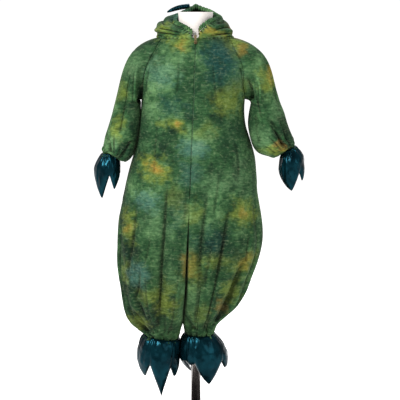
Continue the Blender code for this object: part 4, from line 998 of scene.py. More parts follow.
def hood_edge_grid(stations, around):
    """The hood's gathered edge: an oval tube along the face edge that swells between its gathers."""
    u = np.linspace(-1, 1, stations)
    side = np.where(u < 0, -1.0, 1.0)
    angle = 180 - np.abs(u) * (180 - HOOD_FRONT - 1)
    left, right = LEFT_HOOD.at(angle), RIGHT_HOOD.at(angle)
    key = {name: np.where(side > 0, right[name], left[name]) for name in left}
    a, lean = np.radians(angle), np.radians(key["lean"])
    inward = vectors(-side * np.sin(a), np.cos(a), 0.0)
    up = np.array((0, 0, 1.0))
    along = inward * np.cos(lean)[:, None] + up * np.sin(lean)[:, None]
    across = up * np.cos(lean)[:, None] - inward * np.sin(lean)[:, None]
    edge = vectors(side * key["edge_x"], key["edge_y"], key["edge_z"])
    out, rise = key["high_out"], key["high_up"]
    away = (-rise * np.cos(lean) - out * np.sin(lean)) / np.maximum(np.hypot(out, rise), 0.5)
    gap = HOOD_EDGE_GAP + 1.4 * np.maximum(0.0, away)
    # The gathers are unevenly spaced, and the cloth swells between them.
    phase = 26 * np.pi * (u + 0.012 * np.sin(9 * u) + 0.006 * np.sin(31 * u + 1))
    swell = np.abs(np.sin(phase)) ** 0.55 * (0.85 + 0.15 * np.sin(13 * u + 2))
    half, thick = 3.9 + 2.9 * swell, 1.3 + 2.9 * swell
    b = 2 * np.pi * np.arange(around) / around
    crinkle = 0.25 * np.cos(3 * b[None] + 7 * u[:, None] * np.pi)
    centre = edge + along * (half + gap)[:, None]
    wide = (half[:, None] + crinkle) * np.cos(b)
    tall = (thick[:, None] + crinkle) * np.sin(b)
    return centre[:, None] - along[:, None] * wide[..., None] + across[:, None] * tall[..., None]


def spike_grid(rings, around):
    """The padded spike: oval rings along a low arch from its root to its blunt tip, sewn along both
    edges."""
    along = unit(SPIKE_TIP - SPIKE_ROOT)
    flat = np.array((0.0, 1.0, 0.0))
    tall = np.cross(flat, along)
    t = np.linspace(0, 1, rings)[:, None, None]
    b = (2 * np.pi * np.arange(around) / around)[None, :, None]
    size = 0.05 + 0.95 * (1 - t**3.6) ** 0.6
    centre = SPIKE_ROOT + (SPIKE_TIP - SPIKE_ROOT) * t + np.array((0, 0, 3.5)) * np.sin(np.pi * t)
    tuck = 1 - 0.10 * np.abs(np.sin(9 * np.pi * t)) * np.abs(np.cos(b)) ** 6
    seam = 1 + 0.10 * np.abs(np.cos(b)) ** 24
    wide = SPIKE_HALF[0] * size * np.cos(b) * tuck * seam
    return centre + flat * wide + tall * (SPIKE_HALF[1] * size * powered(np.sin(b), 1.1))


def cover_outline(angle, claws, notch, radius):
    """A cover's length at each angle, its lower edge's slope, the claw's lean and back, and the
    distance from the claw's sides. Between claws the length is the notch's."""
    length = np.full_like(angle, notch)
    steep, lean, back, side_room = (np.zeros_like(angle) for _ in range(4))
    for claw in claws.rows():
        share = np.abs(angle - claw["angle"]) / claw["half_angle"]
        reach = np.radians(claw["half_angle"]) * radius
        drop = (claw["length"] - notch) * (1 - np.minimum(share, 1.0) ** 1.3)
        best = (share < 1) & (notch + drop > length)
        length = np.where(best, notch + drop, length)
        steep = np.where(best, (claw["length"] - notch) / reach, steep)
        lean, back = np.where(best, claw["lean"], lean), np.where(best, claw["back"], back)
        side_room = np.where(best, (1 - share) * reach, side_room)
    return length, steep, lean, back, side_room


def cover_rings(casing, claws, kind, notch, swell_left, swell_right, columns, rows):
    """Closed loops down the front and up the rear of a stuffed cover. Each column hangs from under the
    cuff's frill to the lower outline, which dips into the claws. The stuffing stands as a round
    cushion over the distance to the nearest seam."""
    word = casing.replace("_casing", "")
    ring, centre, axis, reach, flare = cuff(word, 240)
    sizes = COVER_SIZES[kind]
    hem = centre + axis * reach
    hem_ring = (ring - centre) * flare
    forward = np.array((0.0, -1.0, 0.0))
    sideways = unit(np.cross(forward, axis))
    sideways = sideways * np.sign(sideways[0])
    hem_side = np.abs(hem_ring @ sideways).max() - COVER_INSET
    hem_front = np.abs(hem_ring @ forward).max() - COVER_INSET
    hang = axis * 0.25 + np.array((0, 0, -0.75))
    spread = np.linspace(-sizes["wrap"], sizes["wrap"], columns + 1)
    angle, s = np.meshgrid(spread, np.linspace(0, 1, rows + 1), indexing="ij")
    a = np.radians(angle)
    radial = sideways * np.sin(a)[..., None] + forward * np.cos(a)[..., None]
    swell_side = swell_left + (swell_right - swell_left) * (0.5 + 0.5 * np.tanh(angle / 8))
    length, steep, lean, back, side_room = cover_outline(angle, claws, notch, swell_side)
    tucked = (length + COVER_UNDER) * s
    down = tucked - COVER_UNDER
    bulge = np.sin(np.clip(down / sizes["over"], 0, 1) * np.pi / 2)
    past = (np.maximum(0.0, down - notch) / 60) ** 1.3
    side = hem_side + (swell_side - hem_side) * bulge - sizes["tuck"] * past
    ahead = hem_front + (sizes["front"] - hem_front) * bulge - sizes["tuck"] * past
    start = 8 * ease(down / 30)
    middle = hem + axis * (start + np.minimum(down, 0))[..., None]
    middle = middle + hang * np.maximum(0.0, down - start)[..., None]
    middle = middle + sideways * (side * np.sin(a))[..., None]
    middle = middle + forward * (ahead * np.cos(a))[..., None]
    middle = middle + past[..., None] * vectors(lean, back, 0.0)
    rooms = np.stack(
        [
            (length - down) / np.hypot(1, steep) + 0.25,
            tucked * sizes["shoulder"] + 0.4,
            np.radians(sizes["wrap"] - np.abs(angle)) * side + 0.5,
            (side_room + 2.0) / sizes["valley"],
        ]
    )
    room = np.maximum(-np.log(np.exp(-rooms * 0.9).sum(axis=0)) / 0.9, 0.12)
    puff = np.minimum(room / sizes["stuffing"], 1.0)
    half = sizes["stuffing"] * np.sqrt(1 - (1 - puff) ** 2) * 0.62
    # The lame is pleated into the cuff, and it puckers along its lower seam.
    wrinkle = 3.2 * wander(vectors(angle * 0.9, down, 0.0), (5.5, 34, 9), 21)
    pucker = 1.2 * wander(vectors(angle, down, 0.0), (9, 12, 9), 22)
    uneven = np.exp(-tucked / 24) * wrinkle + pucker * puff
    half = np.maximum(half + uneven * np.clip(tucked / 5, 0, 1), 0.5)
    front = middle + radial * half[..., None]
    rear = middle - radial * half[..., None] * 0.5
    return np.concatenate([front, rear[:, ::-1]], axis=1)


def form_grid(rows, columns):
    """The dress form: plain oval rings whose half sizes run smoothly down the table."""
    neck = np.linspace(1099.7, 1000, rows // 2)
    trunk = np.linspace(1000, 652.3, rows // 2 + 1)[1:]
    heights = np.concatenate([neck, trunk])
    z, a = np.meshgrid(heights, 2 * np.pi * np.arange(columns) / columns, indexing="ij")
    row = FORM.at(z)
    ahead = 0.5 + 0.5 * np.cos(a)
    depth = row["back"] + (row["front"] - row["back"]) * ahead
    return vectors(row["half_width"] * np.sin(a), -depth * np.cos(a), z)


def turned_grid(profile, columns):
    """A profile of radius and height turned about Z."""
    profile = np.array(profile, float)
    a = 2 * np.pi * np.arange(columns) / columns
    radius, z = profile[:, :1], profile[:, 1:]
    return vectors(radius * np.cos(a), radius * np.sin(a), z)


def zip_line(z):
    """Points of the front edge at these heights, and the way into the garment there."""
    row = BODY.at(z)
    line = vectors(row["mid"], -row["front"], z)
    inwards = unit(np.cross(np.gradient(line, axis=0), (1.0, 0, 0)))
    return line, inwards * np.sign(inwards[:, 1:2])


# The dye


def linear(colour):
    """An sRGB hex colour as linear red, green and blue."""
    parts = [int(colour[i : i + 2], 16) / 255 for i in (1, 3, 5)]
    return np.array([c / 12.92 if c <= 0.04045 else ((c + 0.055) / 1.055) ** 2.4 for c in parts])


def blotted(colour, dye, gap, rim, strength):
    """Colours with a blotch of dye laid over them, which in a few places is painted shade: a bell over the
    distance from its middle, in reaches, its rim broken by a random field."""
    amount = strength * ease((1.75 - gap + rim * 0.9) / 1.6)
    amount = amount * bpy.context.scene.costume_sizes.dye_strength
    return colour + (dye - colour) * amount[:, None]


def dyed_and_shaded(points):
    """The dye's colour at each point, in linear values, with painted shade in a few of the table's blotches.
    Three drifting greens lie under blotches. The front has the blotches of the table, which fade at the
    sides, and the back has others like them."""
    deep, middling, pale = (linear(c) for c in ("#102919", "#264829", "#507248"))
    slow = 0.40 + 0.46 * wander(points, (58, 80, 66), 31) + 0.34 * wander(points, (20, 26, 24), 32)
    slow = np.clip(slow + 0.22 * wander(points, (8, 10, 7), 35), 0, 1)[:, None] * 2
    low, high = deep + (middling - deep) * slow, middling + (pale - middling) * (slow - 1)
    colour = np.where(slow < 1, low, high)
    dyes = [linear(c) for c in DYES]
    drift = 11 * np.stack([wander(points, (30, 34, 26), n) for n in (41, 42)])
    drift = drift + 5 * np.stack([wander(points, (11, 12, 9), n) for n in (43, 44)])
    x, z = points[:, 0] + drift[0], points[:, 2] + drift[1]
    rim = 0.55 * wander(points, (16, 18, 13), 33) + 0.5 * wander(points, (6, 8, 4), 34)
    front = ease((22 + 14 * rim - points[:, 1]) / 36)
    for spot in BLOTCHES.rows():
        gap = np.hypot((x - spot["x"]) / spot["reach_x"], (z - spot["z"]) / spot["reach_z"])
        colour = blotted(colour, dyes[int(spot["colour"])], gap, rim, 0.8 * spot["strength"] * front)
    rng = np.random.default_rng(7)
    for _ in range(70):
        middle = np.array((rng.uniform(-200, 200), rng.uniform(20, 120), rng.uniform(270, 1110)))
        reach, kind = rng.uniform(16, 38), rng.choice(6, p=(0.28, 0.08, 0.2, 0.14, 0.16, 0.14))
        gap = np.linalg.norm((points - middle) / (1.2, 2.0, 0.9), axis=-1) / reach
        colour = blotted(colour, dyes[kind], gap, rim, rng.uniform(0.45, 0.8) * (1 - front))
    # The colour is made darker on the legs: a fifth darker below 460 mm, easing to none at 680 mm.
    colour = colour * (1 - 0.2 * ease((680 - points[:, 2]) / 220))[:, None]
    return np.clip(colour, 0, 1)


# Meshes


def grid_faces(rows, columns, closed, first=0):
    """The four corners of every face of a grid of points, rows by columns. A closed grid joins its
    last column to its first."""
    index = first + np.arange(rows * columns).reshape(rows, columns)
    across = np.roll(index, -1, axis=1) if closed else index[:, 1:]
    here = index if closed else index[:, :-1]
    return np.stack([here[:-1], here[1:], across[1:], across[:-1]], axis=-1).reshape(-1, 4)


def mesh_from(points, faces):
    """A mesh of these points, given in millimetres, and four-cornered faces."""
    mesh = bpy.data.meshes.new("surface")
    mesh.vertices.add(len(points))
    mesh.vertices.foreach_set("co", (np.asarray(points) * MM).ravel())
    mesh.loops.add(faces.size)
    mesh.loops.foreach_set("vertex_index", faces.ravel())
    mesh.polygons.add(len(faces))
    mesh.polygons.foreach_set("loop_start", np.arange(len(faces)) * 4)
    mesh.update(calc_edges=True)
    mesh.validate()
    return mesh


def cleaned(mesh, inside, caps):
    """Merges the mesh's doubled points, closes its end rings if asked, and turns its faces outwards,
    away from a point inside or, for a closed mesh, by its volume."""
    bm = bmesh.new()
    bm.from_mesh(mesh)
    bmesh.ops.remove_doubles(bm, verts=bm.verts[:], dist=0.02 * MM)
    bmesh.ops.dissolve_degenerate(bm, edges=bm.edges[:], dist=0.005 * MM)
    if caps:
        bmesh.ops.holes_fill(bm, edges=[e for e in bm.edges if e.is_boundary], sides=0)
    bmesh.ops.recalc_face_normals(bm, faces=bm.faces[:])
    if inside is None:
        outwards = bm.calc_volume(signed=True)
    else:
        middle = np.array(inside) * MM
        centres = np.array([f.calc_center_median() for f in bm.faces])
        normals = np.array([f.normal * f.calc_area() for f in bm.faces])
        outwards = ((centres - middle) * normals).sum()
    if outwards < 0:
        bmesh.ops.reverse_faces(bm, faces=bm.faces[:])
    bm.to_mesh(mesh)
    bm.free()


def placed(name, data):
    """A new object of this data, in the collection."""
    obj = bpy.data.objects.new(name, data)
    bpy.context.scene.collection.objects.link(obj)
    return obj


def piece_from(name, node, grids, material, inside=None, closed=True):
    """A new smooth-shaded piece made of grids, on the root body, that stands for a CAD node. Without a
    point inside to turn away from, its ends are closed and it is a solid body."""
    points = np.concatenate([grid.reshape(-1, 3) for grid in grids])
    faces, first = [], 0
    for grid in grids:
        faces.append(grid_faces(*grid.shape[:2], closed, first))
        first += grid.shape[0] * grid.shape[1]
    mesh = mesh_from(points, np.concatenate(faces))
    cleaned(mesh, inside, inside is None)
    mesh.name = name
    mesh.polygons.foreach_set("use_smooth", np.ones(len(mesh.polygons), bool))
    mesh.materials.append(material)
    obj = placed(name, mesh)
    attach(obj, "root")
    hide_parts(node)
    return obj


def read(items, name, width, kind=float):
    """A property of a mesh's items as an array of rows."""
    values = np.empty(len(items) * width, kind)
    items.foreach_get(name, values)
    return values.reshape(-1, width)


def hollows(mesh):
    """How hollow the surface is at each point, from -1 on a ridge to 1 in a valley: the step to the
    mean of its neighbours along its normal, over their mean squared distance."""
    count = len(mesh.vertices)
    points, normals = read(mesh.vertices, "co", 3) / MM, read(mesh.vertices, "normal", 3)
    pairs = read(mesh.edges, "vertices", 2, np.int64)
    ends = np.concatenate([pairs, pairs[:, ::-1]])
    near = np.maximum(np.bincount(ends[:, 0], minlength=count), 1)

    def around(values):
        return np.bincount(ends[:, 0], weights=values[ends[:, 1]], minlength=count) / near

    step = np.stack([around(points[:, k]) for k in range(3)], axis=-1) - points
    gap = ((points[ends[:, 0]] - points[ends[:, 1]]) ** 2).sum(axis=1)
    gap = np.bincount(ends[:, 0], weights=gap, minlength=count) / near
    bend = 4 * (step * normals).sum(axis=1) / np.maximum(gap, 0.05)
    for _ in range(3):
        bend = 0.5 * bend + 0.5 * around(bend)
    return np.clip(bend / 0.16, -1, 1)


def dye_and_shade_points(obj, tables=(), hollow_shade=0.5):
    """Stores the dye's colour at each point of the mesh, as the attribute that the velour reads, with
    painted shade and highlight in it. The colour is painted darker in the creases of these pairs of tables,
    the front's and the back's, and in any hollow of the mesh, and painted lighter on its ridges."""
    mesh = obj.data
    points = read(mesh.vertices, "co", 3) / MM
    colour = dyed_and_shaded(points)
    if tables:
        front, back = (crease_shade(points, pair) for pair in tables)
        # Painted shade: darker in the tables' broad folds and creases.
        colour *= np.clip(1 - 0.8 * np.where(points[:, 1] < 0, front, back), 0.12, 1)[:, None]
    bend = hollows(mesh)
    # Painted shade in the mesh's hollows, and a painted highlight on its ridges.
    colour *= np.where(bend > 0, 1 - hollow_shade * bend, 1 - 0.28 * bend)[:, None]
    # The attribute holds the dye's colour with this painted shade and highlight.
    layer = mesh.attributes.new("dye", "FLOAT_COLOR", "POINT")
    layer.data.foreach_set("color", np.column_stack([colour, np.ones(len(colour))]).ravel())


def cloth_piece(node, grids, inside, closed=False, tables=(), hollow_shade=0.5):
    """A sheet of dyed velour that stands for a CAD node. Its wall lies inwards from its outer face."""
    obj = piece_from(node + "_cloth", node, grids, shared(velour), inside, closed)
    # The colour gets painted shade in the creases and hollows, and a painted highlight on the ridges.
    dye_and_shade_points(obj, tables, hollow_shade)
    wall = obj.modifiers.new("Cloth thickness", "SOLIDIFY")
    wall.thickness = bpy.context.scene.costume_sizes.cloth * MM
    wall.offset = -1.0
    return obj


def stuffed_piece(node, grid, material):
    """A closed stuffed body that stands for a CAD node."""
    obj = piece_from(node + "_cloth", node, [grid], material)
    return obj


# Materials


def add(tree, kind, settings=None, **links):
    """Adds one node with its settings, and the values or links of its inputs. An input is named by
    its socket with underscores for spaces, or by in_ and its number."""
    node = tree.nodes.new(kind)
    for name, value in (settings or {}).items():
        setattr(node, name, value)
    for name, value in links.items():
        key = int(name[3:]) if name.startswith("in_") else name.replace("_", " ")
        socket = node.inputs[key]
        if isinstance(value, bpy.types.NodeSocket):
            tree.links.new(value, socket)
        else:
            socket.default_value = value
    return node


def grain(size, stretch=(1, 1, 1), detail=3.0, distortion=0.0):
    """A noise pattern whose grains measure this size in millimetres, stretched along X, Y and Z: the
    node's kind, how its space is mapped, and its own values."""
    scale = [1000 / size / s for s in stretch]
    return "ShaderNodeTexNoise", {"Scale": scale}, {"Scale": 1.0, "Detail": detail, "Distortion": distortion}


def material_from(name, values, patterns, base, tones, bumps=(), roughness=None):
    """A new material. Its shader has these values, and its patterns read Object coordinates. Its colour
    starts as the base, a colour or an attribute's name. Each tone is mixed in by its pattern, moved
    from the first range to 0 to its most. A tone with a way of blending and an amount is blended with
    the base first. Roughness follows a pattern moved from one range to another. A bump is a pattern,
    its height in millimetres and how strongly it shows."""
    material = bpy.data.materials.new(name)
    material.use_nodes = True
    tree = material.node_tree
    shader = tree.nodes["Principled BSDF"]
    for key, value in values.items():
        shader.inputs[key].default_value = value
    place = add(tree, "ShaderNodeTexCoord").outputs["Object"]
    fields = {}
    for word, (kind, mapped, settings) in patterns.items():
        mapping = add(tree, "ShaderNodeMapping", Vector=place, **mapped)
        fields[word] = add(tree, kind, Vector=mapping.outputs["Vector"], **settings).outputs["Fac"]

    if isinstance(base, str):
        base = add(tree, "ShaderNodeAttribute", {"attribute_name": base}).outputs["Color"]
    else:
        base = rgba(base)
    colour = base
    for word, low, high, most, tone, *blending in tones:
        tone = rgba(tone)
        if blending:
            way, amount = blending
            settings = {"data_type": "RGBA", "blend_type": way}
            tone = add(tree, "ShaderNodeMix", settings, in_0=amount, in_6=base, in_7=tone).outputs[2]
        ends = {"From_Min": low, "From_Max": high, "To_Min": 0.0, "To_Max": most}
        share = add(tree, "ShaderNodeMapRange", Value=fields[word], **ends).outputs["Result"]
        settings = {"data_type": "RGBA", "blend_type": "MIX"}
        colour = add(tree, "ShaderNodeMix", settings, in_0=share, in_6=colour, in_7=tone).outputs[2]
    tree.links.new(colour, shader.inputs["Base Color"])
    if roughness:
        word, low, high, to_low, to_high = roughness
        ends = {"From_Min": low, "From_Max": high, "To_Min": to_low, "To_Max": to_high}
        rough = add(tree, "ShaderNodeMapRange", Value=fields[word], **ends)
        tree.links.new(rough.outputs["Result"], shader.inputs["Roughness"])
    normal = None
    for word, height, strength in bumps:
        node = add(tree, "ShaderNodeBump", Height=fields[word], Distance=height * MM, Strength=strength)
        if normal is not None:
            tree.links.new(normal, node.inputs["Normal"])
        normal = node.outputs["Normal"]
    if normal is not None:
        tree.links.new(normal, shader.inputs["Normal"])
    return material


def rgba(colour):
    """A linear colour with full alpha."""
    return (*(float(c) for c in colour), 1.0)


def velour():
    """Crushed polyester velour, tie-dyed. The dye blurs over centimetres, the crushed pile lies in
    short level dashes that look light or dark, and the nap gives a soft sheen without gloss."""
    dark, pale = ((0.34, 0.42, 0.38), "MULTIPLY", 1.0), (linear("#9aa67c"), "MIX", 0.30)
    return material_from(
        "crushed_velour",
        {
            "Roughness": 0.9,
            "Specular IOR Level": 0.12,
            "Sheen Weight": 0.05,
            "Sheen Roughness": 0.45,
            "Sheen Tint": rgba(linear("#b9c7a4")),
        },
        {
            # Dashes of crushed pile, about 16 mm long and 2 mm high
            "dashes": grain(2.6, stretch=(6.5, 6.5, 1.0), detail=4.0, distortion=0.5),
            # Specks of dye that the pile took up unevenly, about 5 mm
            "specks": grain(6.0, stretch=(1.2, 1.2, 1.0), detail=5.0, distortion=0.6),
            # Pile tufts. Real ones are finer, and these are drawn 1.2 mm wide so that they show.
            "tufts": grain(1.2, detail=2.0),
        },
        # The attribute holds the dye's colour with painted shade in creases and hollows and a painted
        # highlight on ridges.
        "dye",
        (
            ("dashes", 0.52, 0.34, 0.62, *dark),
            ("dashes", 0.57, 0.74, 0.5, *pale),
            ("specks", 0.52, 0.34, 0.6, *dark),
            ("specks", 0.56, 0.74, 0.5, *pale),
        ),
        (("dashes", 2.2, 0.55), ("specks", 1.2, 0.3), ("tufts", 0.4, 0.35)),
    )


def lame(colours):
    """Tricot lame: a knit with a metallic foil. It mirrors softly, in many small creased facets."""
    return material_from(
        "tricot_lame",
        {"Metallic": 0.7, "Roughness": 0.25, "Specular IOR Level": 0.05},
        {
            "creases": grain(17.0, stretch=(1.0, 1.0, 1.6), detail=2.5, distortion=0.8),
            "shimmer": grain(30.0, stretch=(1, 1, 1.4), detail=2.0),
            # Fine knit ribs. Real ones are finer, and these are drawn 1 mm wide so that they show.
            "ribs": grain(1.0, stretch=(1, 1, 3), detail=1.0),
        },
        colours.claw_dark,
        (("shimmer", 0.3, 0.7, 1.0, colours.claw_light),),
        (("creases", 1.5, 0.5), ("ribs", 0.1, 0.25)),
        ("creases", 0.3, 0.7, 0.2, 0.28),
    )


def jersey(colours):
    """Cotton jersey stretched over padding: matt and smooth, with the fine ribs of its knit."""
    cover = np.array(colours.form_cover)
    return material_from(
        "cotton_jersey",
        {"Roughness": 0.9, "Specular IOR Level": 0.2, "Sheen Weight": 0.1},
        {"ribs": grain(1.1, stretch=(1, 1, 3), detail=2.0), "shade": grain(45.0)},
        cover * 0.94,
        (("shade", 0.3, 0.7, 1.0, cover),),
        (("ribs", 0.3, 0.5),),
    )


def polished_steel():
    """Drawn steel tube and turned steel plate with a dark polish: it mirrors its surroundings, with
    faint scratches along its length."""
    return material_from(
        "polished_steel",
        {"Metallic": 1.0, "Roughness": 0.2},
        {"scratches": grain(1.2, stretch=(1, 1, 60)), "smudges": grain(40.0, detail=4.0)},
        linear("#6d6967"),
        (("smudges", 0.35, 0.7, 1.0, linear("#807b78")),),
        (("scratches", 0.05, 0.3),),
        ("smudges", 0.3, 0.7, 0.2, 0.26),
    )


def aged_brass():
    """Die-cast and plated brass, dulled by handling: a warm metal, darker in random patches and pitted."""
    return material_from(
        "aged_brass",
        {"Metallic": 1.0, "Roughness": 0.38},
        {"patina": grain(3.0, detail=4.0)},
        linear("#5d523e"),
        (("patina", 0.35, 0.65, 1.0, linear("#a08d66")),),
        (("patina", 0.15, 0.3),),
        ("patina", 0.3, 0.7, 0.5, 0.3),
    )


def woven_tape():
    """Woven polyester zip tape: matt, with a herringbone of threads 1 mm apart."""
    turned = {"Rotation": (0, math.radians(35), 0)}
    return material_from(
        "woven_zip_tape",
        {"Roughness": 0.8, "Specular IOR Level": 0.3},
        {"threads": ("ShaderNodeTexWave", turned, {"Scale": 160.0})},
        linear("#223a2a"),
        (("threads", 0, 1, 1.0, linear("#3f5f42")),),
        (("threads", 0.25, 0.6),),
    )


def resin_teeth():
    """Moulded acetal zip teeth: satin plastic, dyed to match, and paler where it is rubbed."""
    return material_from(
        "moulded_resin",
        {"Roughness": 0.42, "Specular IOR Level": 0.45},
        {"rubbed": grain(4.0)},
        linear("#2b4a33"),
        (("rubbed", 0.4, 0.7, 1.0, linear("#5b7a58")),),
        (("rubbed", 0.1, 0.3),),
    )


def studio_floor():
    """Painted board: pale and matt, with faint unevenness."""
    board = linear("#fbfaf9")
    glow = {"Emission Color": rgba(board), "Emission Strength": 0.62}
    return material_from(
        "painted_board",
        {"Roughness": 0.85, "Specular IOR Level": 0.2, **glow},
        {"patches": grain(300.0)},
        board,
        (("patches", 0, 1, 1.0, linear("#fefefd")),),
    )


MADE = {}


def shared(make, *values):
    """The material that this function makes, made once."""
    found = bpy.data.materials.get(MADE.get(make.__name__, ""))
    if found is None:
        found = make(*values)
        MADE[make.__name__] = found.name
    return found


# Settings


def share_property(name, description, most):
    """A setting that scales something, 1 as it is."""
    return FloatProperty(name=name, description=description, default=1.0, min=0, max=most, subtype="FACTOR")


def colour_property(name, description, colour):
    """A colour that a user can pick."""
    default = tuple(linear(colour))
    return FloatVectorProperty(
        name=name, description=description, default=default, min=0, max=1, size=3, subtype="COLOR"
    )


class CostumeSizes(bpy.types.PropertyGroup):
    """Sizes of the cloth that a user would change."""

    cloth: FloatProperty(
        name="Cloth", description="Thickness of the velour, in millimetres", default=1.3, min=0.8, max=3
    )
    crease_depth: share_property("Creases", "How deep the sharp creases are, as a share", 1.6)
    crumple: share_property("Crumple", "How far loose cloth wanders, as a share", 2)
    dye_strength: share_property("Dye", "How strongly the blotches show", 1)
    tooth_pitch: FloatProperty(
        name="Teeth", description="Pitch of the zip's teeth, in millimetres", default=2.6, min=1.5, max=5
    )
    panel_columns: IntProperty(
        name="Panel columns", description="Columns of points across a panel", default=84, min=20, max=120
    )


class CostumeColours(bpy.types.PropertyGroup):
    """Colours that a user would change."""

    claw_dark: colour_property("Claws, dark", "The lame's darker tone", "#04181e")
    claw_light: colour_property("Claws, light", "The lame's lighter tone", "#092f38")
    form_cover: colour_property("Form cover", "The dress form's jersey", "#d6d0cb")


# Operators


class COSTUME_OT_panels(bpy.types.Operator):
    """Makes the two fronts and the two backs"""

    bl_idname = "costume.panels"
    bl_label = "Body panels"

    def execute(self, context):
        columns = context.scene.costume_sizes.panel_columns
        for side, word in SIDES:
            for back, place in ((False, "front"), (True, "back")):
                grids = panel_grids(side, back, 268, columns)
                inside = (side * 70, 0, 700)
                cloth_piece(f"{place}_{word}", grids, inside, tables=(FRONT, BACK))
        return {"FINISHED"}


class COSTUME_OT_sleeves(bpy.types.Operator):
    """Makes the two raglan sleeves"""

    bl_idname = "costume.sleeves"
    bl_label = "Sleeves"

    def execute(self, context):
        for side, word in SIDES:
            grid = sleeve_grid(side, 44, 68, 192)
            inside = (side * 185, -20, 850)
            tables = (SLEEVE_FRONTS[side], SLEEVE_BACK)
            cloth_piece(f"sleeve_{word}", [grid], inside, closed=True, tables=tables)
        return {"FINISHED"}


class COSTUME_OT_cuffs(bpy.types.Operator):
    """Makes the elastic casings and their frills at the wrists and ankles"""

    bl_idname = "costume.cuffs"
    bl_label = "Elastic casings"

    def execute(self, context):
        for limb, width in (("wrist", 0.22), ("ankle", 0.36)):
            for _, side in SIDES:
                word = f"{limb}_{side}"
                grid = cuff_grid(word, 320, 14)
                _, centre, axis, reach, _ = cuff(word, 64)
                inside = tuple(centre + axis * reach / 2)
                name = f"{limb}_casing_{side}"
                cloth_piece(name, [grid], inside, closed=True)
        return {"FINISHED"}


class COSTUME_OT_hood(bpy.types.Operator):
    """Makes the hood's two halves, its gathered edge and its padded spike"""

    bl_idname = "costume.hood"
    bl_label = "Hood"

    def execute(self, context):
        for side, word in SIDES:
            grid = hood_grid(side, 76, 132)
            # Painted shade: the hood's hollows are painted darker than the body's, and the edge's pinches
            # darker still.
            cloth_piece(f"hood_{word}", [grid], (0, 0, 1060), hollow_shade=0.85)
        edge = stuffed_piece("hood_edge", hood_edge_grid(430, 20), shared(velour))
        dye_and_shade_points(edge, hollow_shade=0.9)
        foil = shared(lame, context.scene.costume_colours)
        stuffed_piece("hood_spike", spike_grid(46, 36), foil)
        return {"FINISHED"}


class COSTUME_OT_claws(bpy.types.Operator):
    """Makes the stuffed claw covers over the hands and feet"""

    bl_idname = "costume.claws"
    bl_label = "Claw covers"

    def execute(self, context):
        foil = shared(lame, context.scene.costume_colours)
        for name, *shape in COVERS:
            stuffed_piece(name, cover_rings(*shape, 132, 40), foil)
        return {"FINISHED"}


class COSTUME_OT_zip(bpy.types.Operator):
    """Makes the zip's teeth, and finishes its tapes, slider and pull"""

    bl_idname = "costume.zip"
    bl_label = "Zip"

    def execute(self, context):
        pitch = context.scene.costume_sizes.tooth_pitch
        z = np.arange(1016, ZIP_END + 6, -pitch / 2)
        line, inwards = zip_line(z)
        sides = np.where(np.arange(len(z)) % 2, 1.0, -1.0)
        middle = line + inwards * 2.0
        middle[:, 0] += sides * 0.55
        corners = np.array([(x, y, w) for x in (-1, 1) for y in (-1, 1) for w in (-1, 1)], float)
        points = middle[:, None] + corners * (1.25, 0.75, pitch * 0.23)
        ends = ((0, 1, 3, 2), (4, 6, 7, 5))
        sides_round = ((0, 4, 5, 1), (2, 3, 7, 6), (0, 2, 6, 4), (1, 5, 7, 3))
        box = np.array([*ends, *sides_round])
        faces = (box[None] + 8 * np.arange(len(z))[:, None, None]).reshape(-1, 4)
        mesh = mesh_from(points.reshape(-1, 3), faces)
        cleaned(mesh, None, False)
        mesh.materials.append(shared(resin_teeth))
        teeth = placed("zip_teeth", mesh)
        bevel = teeth.modifiers.new("Rounded", "BEVEL")
        bevel.width = 0.25 * MM
        bevel.segments = 1
        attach(teeth, "root")
        finishes = {
            "zip_tape_left": woven_tape,
            "zip_tape_right": woven_tape,
            "zip_slider": aged_brass,
            "zip_pull": aged_brass,
        }
        for name, finish in finishes.items():
            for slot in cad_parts[name].material_slots:
                slot.material = shared(finish)
        return {"FINISHED"}


class COSTUME_OT_form(bpy.types.Operator):
    """Makes the dress form, its pole and its base plate"""

    bl_idname = "costume.form"
    bl_label = "Dress form and stand"

    def execute(self, context):
        cover = shared(jersey, context.scene.costume_colours)
        piece_from("form_cover", "form_body", [form_grid(110, 96)], cover)
        steel = shared(polished_steel)
        pole = turned_grid([(12.75, 651.7), (12.75, 340), (12.75, 10.3)], 64)
        piece_from("pole_tube", "pole", [pole], steel)
        turns = np.radians(np.linspace(0, 90, 7))
        rim = [(137 + 3 * math.sin(a), 7 + 3 * math.cos(a)) for a in turns]
        profile = [(26.0, 10.0), (90, 10.0), *rim, (140, 3), (139.2, 0.4), (138, 0.0)]
        piece_from("base_disc", "base_plate", [turned_grid(profile, 128)], steel)
        return {"FINISHED"}


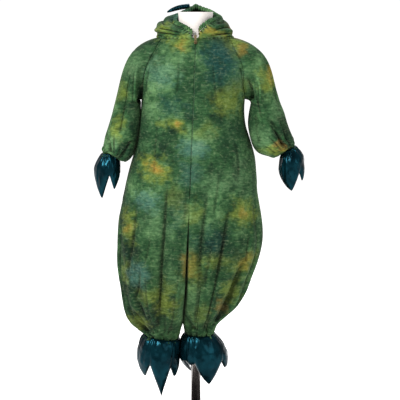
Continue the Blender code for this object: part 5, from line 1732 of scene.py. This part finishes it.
class COSTUME_OT_stage(bpy.types.Operator):
    """Makes the floor, the lights and the camera"""

    bl_idname = "costume.stage"
    bl_label = "Stage"

    def execute(self, context):
        scene = context.scene
        lens = bpy.data.cameras.new("camera")
        lens.lens = CAMERA_LENS
        lens.sensor_width = SENSOR_WIDTH
        camera = placed("camera", lens)
        camera.location = CAMERA_PLACE
        camera.rotation_euler = (math.radians(90 - CAMERA_DOWN), 0, 0)
        scene.camera = camera
        corners = np.array([(-1, -1, 0), (1, -1, 0), (1, 1, 0), (-1, 1, 0)]) * FLOOR_REACH
        mesh = mesh_from(corners - (0, 0, FLOOR_BELOW), np.array([[0, 1, 2, 3]]))
        mesh.materials.append(studio_floor())
        placed("floor", mesh)
        scene.view_settings.view_transform = "Standard"
        for name, place, power, width in LAMPS:
            lamp = bpy.data.lights.new(name, "AREA")
            lamp.energy = power
            lamp.size = width
            obj = placed(name, lamp)
            obj.location = place
            aim = unit(np.array(LAMPS_FACE) - place)
            obj.rotation_euler = (math.acos(-aim[2]), 0, math.atan2(aim[0], -aim[1]) + math.pi)
        world = bpy.data.worlds.new("pale_studio")
        world.use_nodes = True
        sky = world.node_tree.nodes["Background"]
        sky.inputs["Color"].default_value = rgba(linear("#ffffff"))
        # The lamps shape the cloth, and the world seen behind it is white.
        tree = world.node_tree
        seen = add(tree, "ShaderNodeLightPath").outputs["Is Camera Ray"]
        strength = add(tree, "ShaderNodeMapRange", Value=seen, To_Min=0.5, To_Max=1.05)
        tree.links.new(strength.outputs["Result"], sky.inputs["Strength"])
        scene.world = world
        return {"FINISHED"}


class COSTUME_PT_panel(bpy.types.Panel):
    """The costume's sizes, colours and steps"""

    bl_label = "Dinosaur costume"
    bl_space_type = "VIEW_3D"
    bl_region_type = "UI"
    bl_category = "Costume"

    def draw(self, context):
        scene = context.scene
        for group in (scene.costume_sizes, scene.costume_colours):
            for name in group.bl_rna.properties.keys():
                if name not in ("rna_type", "name"):
                    self.layout.prop(group, name)
        for operator in OPERATORS:
            self.layout.operator(operator.bl_idname)


OPERATORS = (
    COSTUME_OT_form,
    COSTUME_OT_panels,
    COSTUME_OT_sleeves,
    COSTUME_OT_cuffs,
    COSTUME_OT_hood,
    COSTUME_OT_claws,
    COSTUME_OT_zip,
    COSTUME_OT_stage,
)
CLASSES = (CostumeSizes, CostumeColours, *OPERATORS, COSTUME_PT_panel)


def register():
    for cls in CLASSES:
        bpy.utils.register_class(cls)
    bpy.types.Scene.costume_sizes = PointerProperty(type=CostumeSizes)
    bpy.types.Scene.costume_colours = PointerProperty(type=CostumeColours)


def unregister():
    del bpy.types.Scene.costume_colours
    del bpy.types.Scene.costume_sizes
    for cls in reversed(CLASSES):
        bpy.utils.unregister_class(cls)


def main():
    register()
    for operator in OPERATORS:
        family, name = operator.bl_idname.split(".")
        getattr(getattr(bpy.ops, family), name)()
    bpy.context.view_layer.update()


if __name__ == "__main__":
    main()
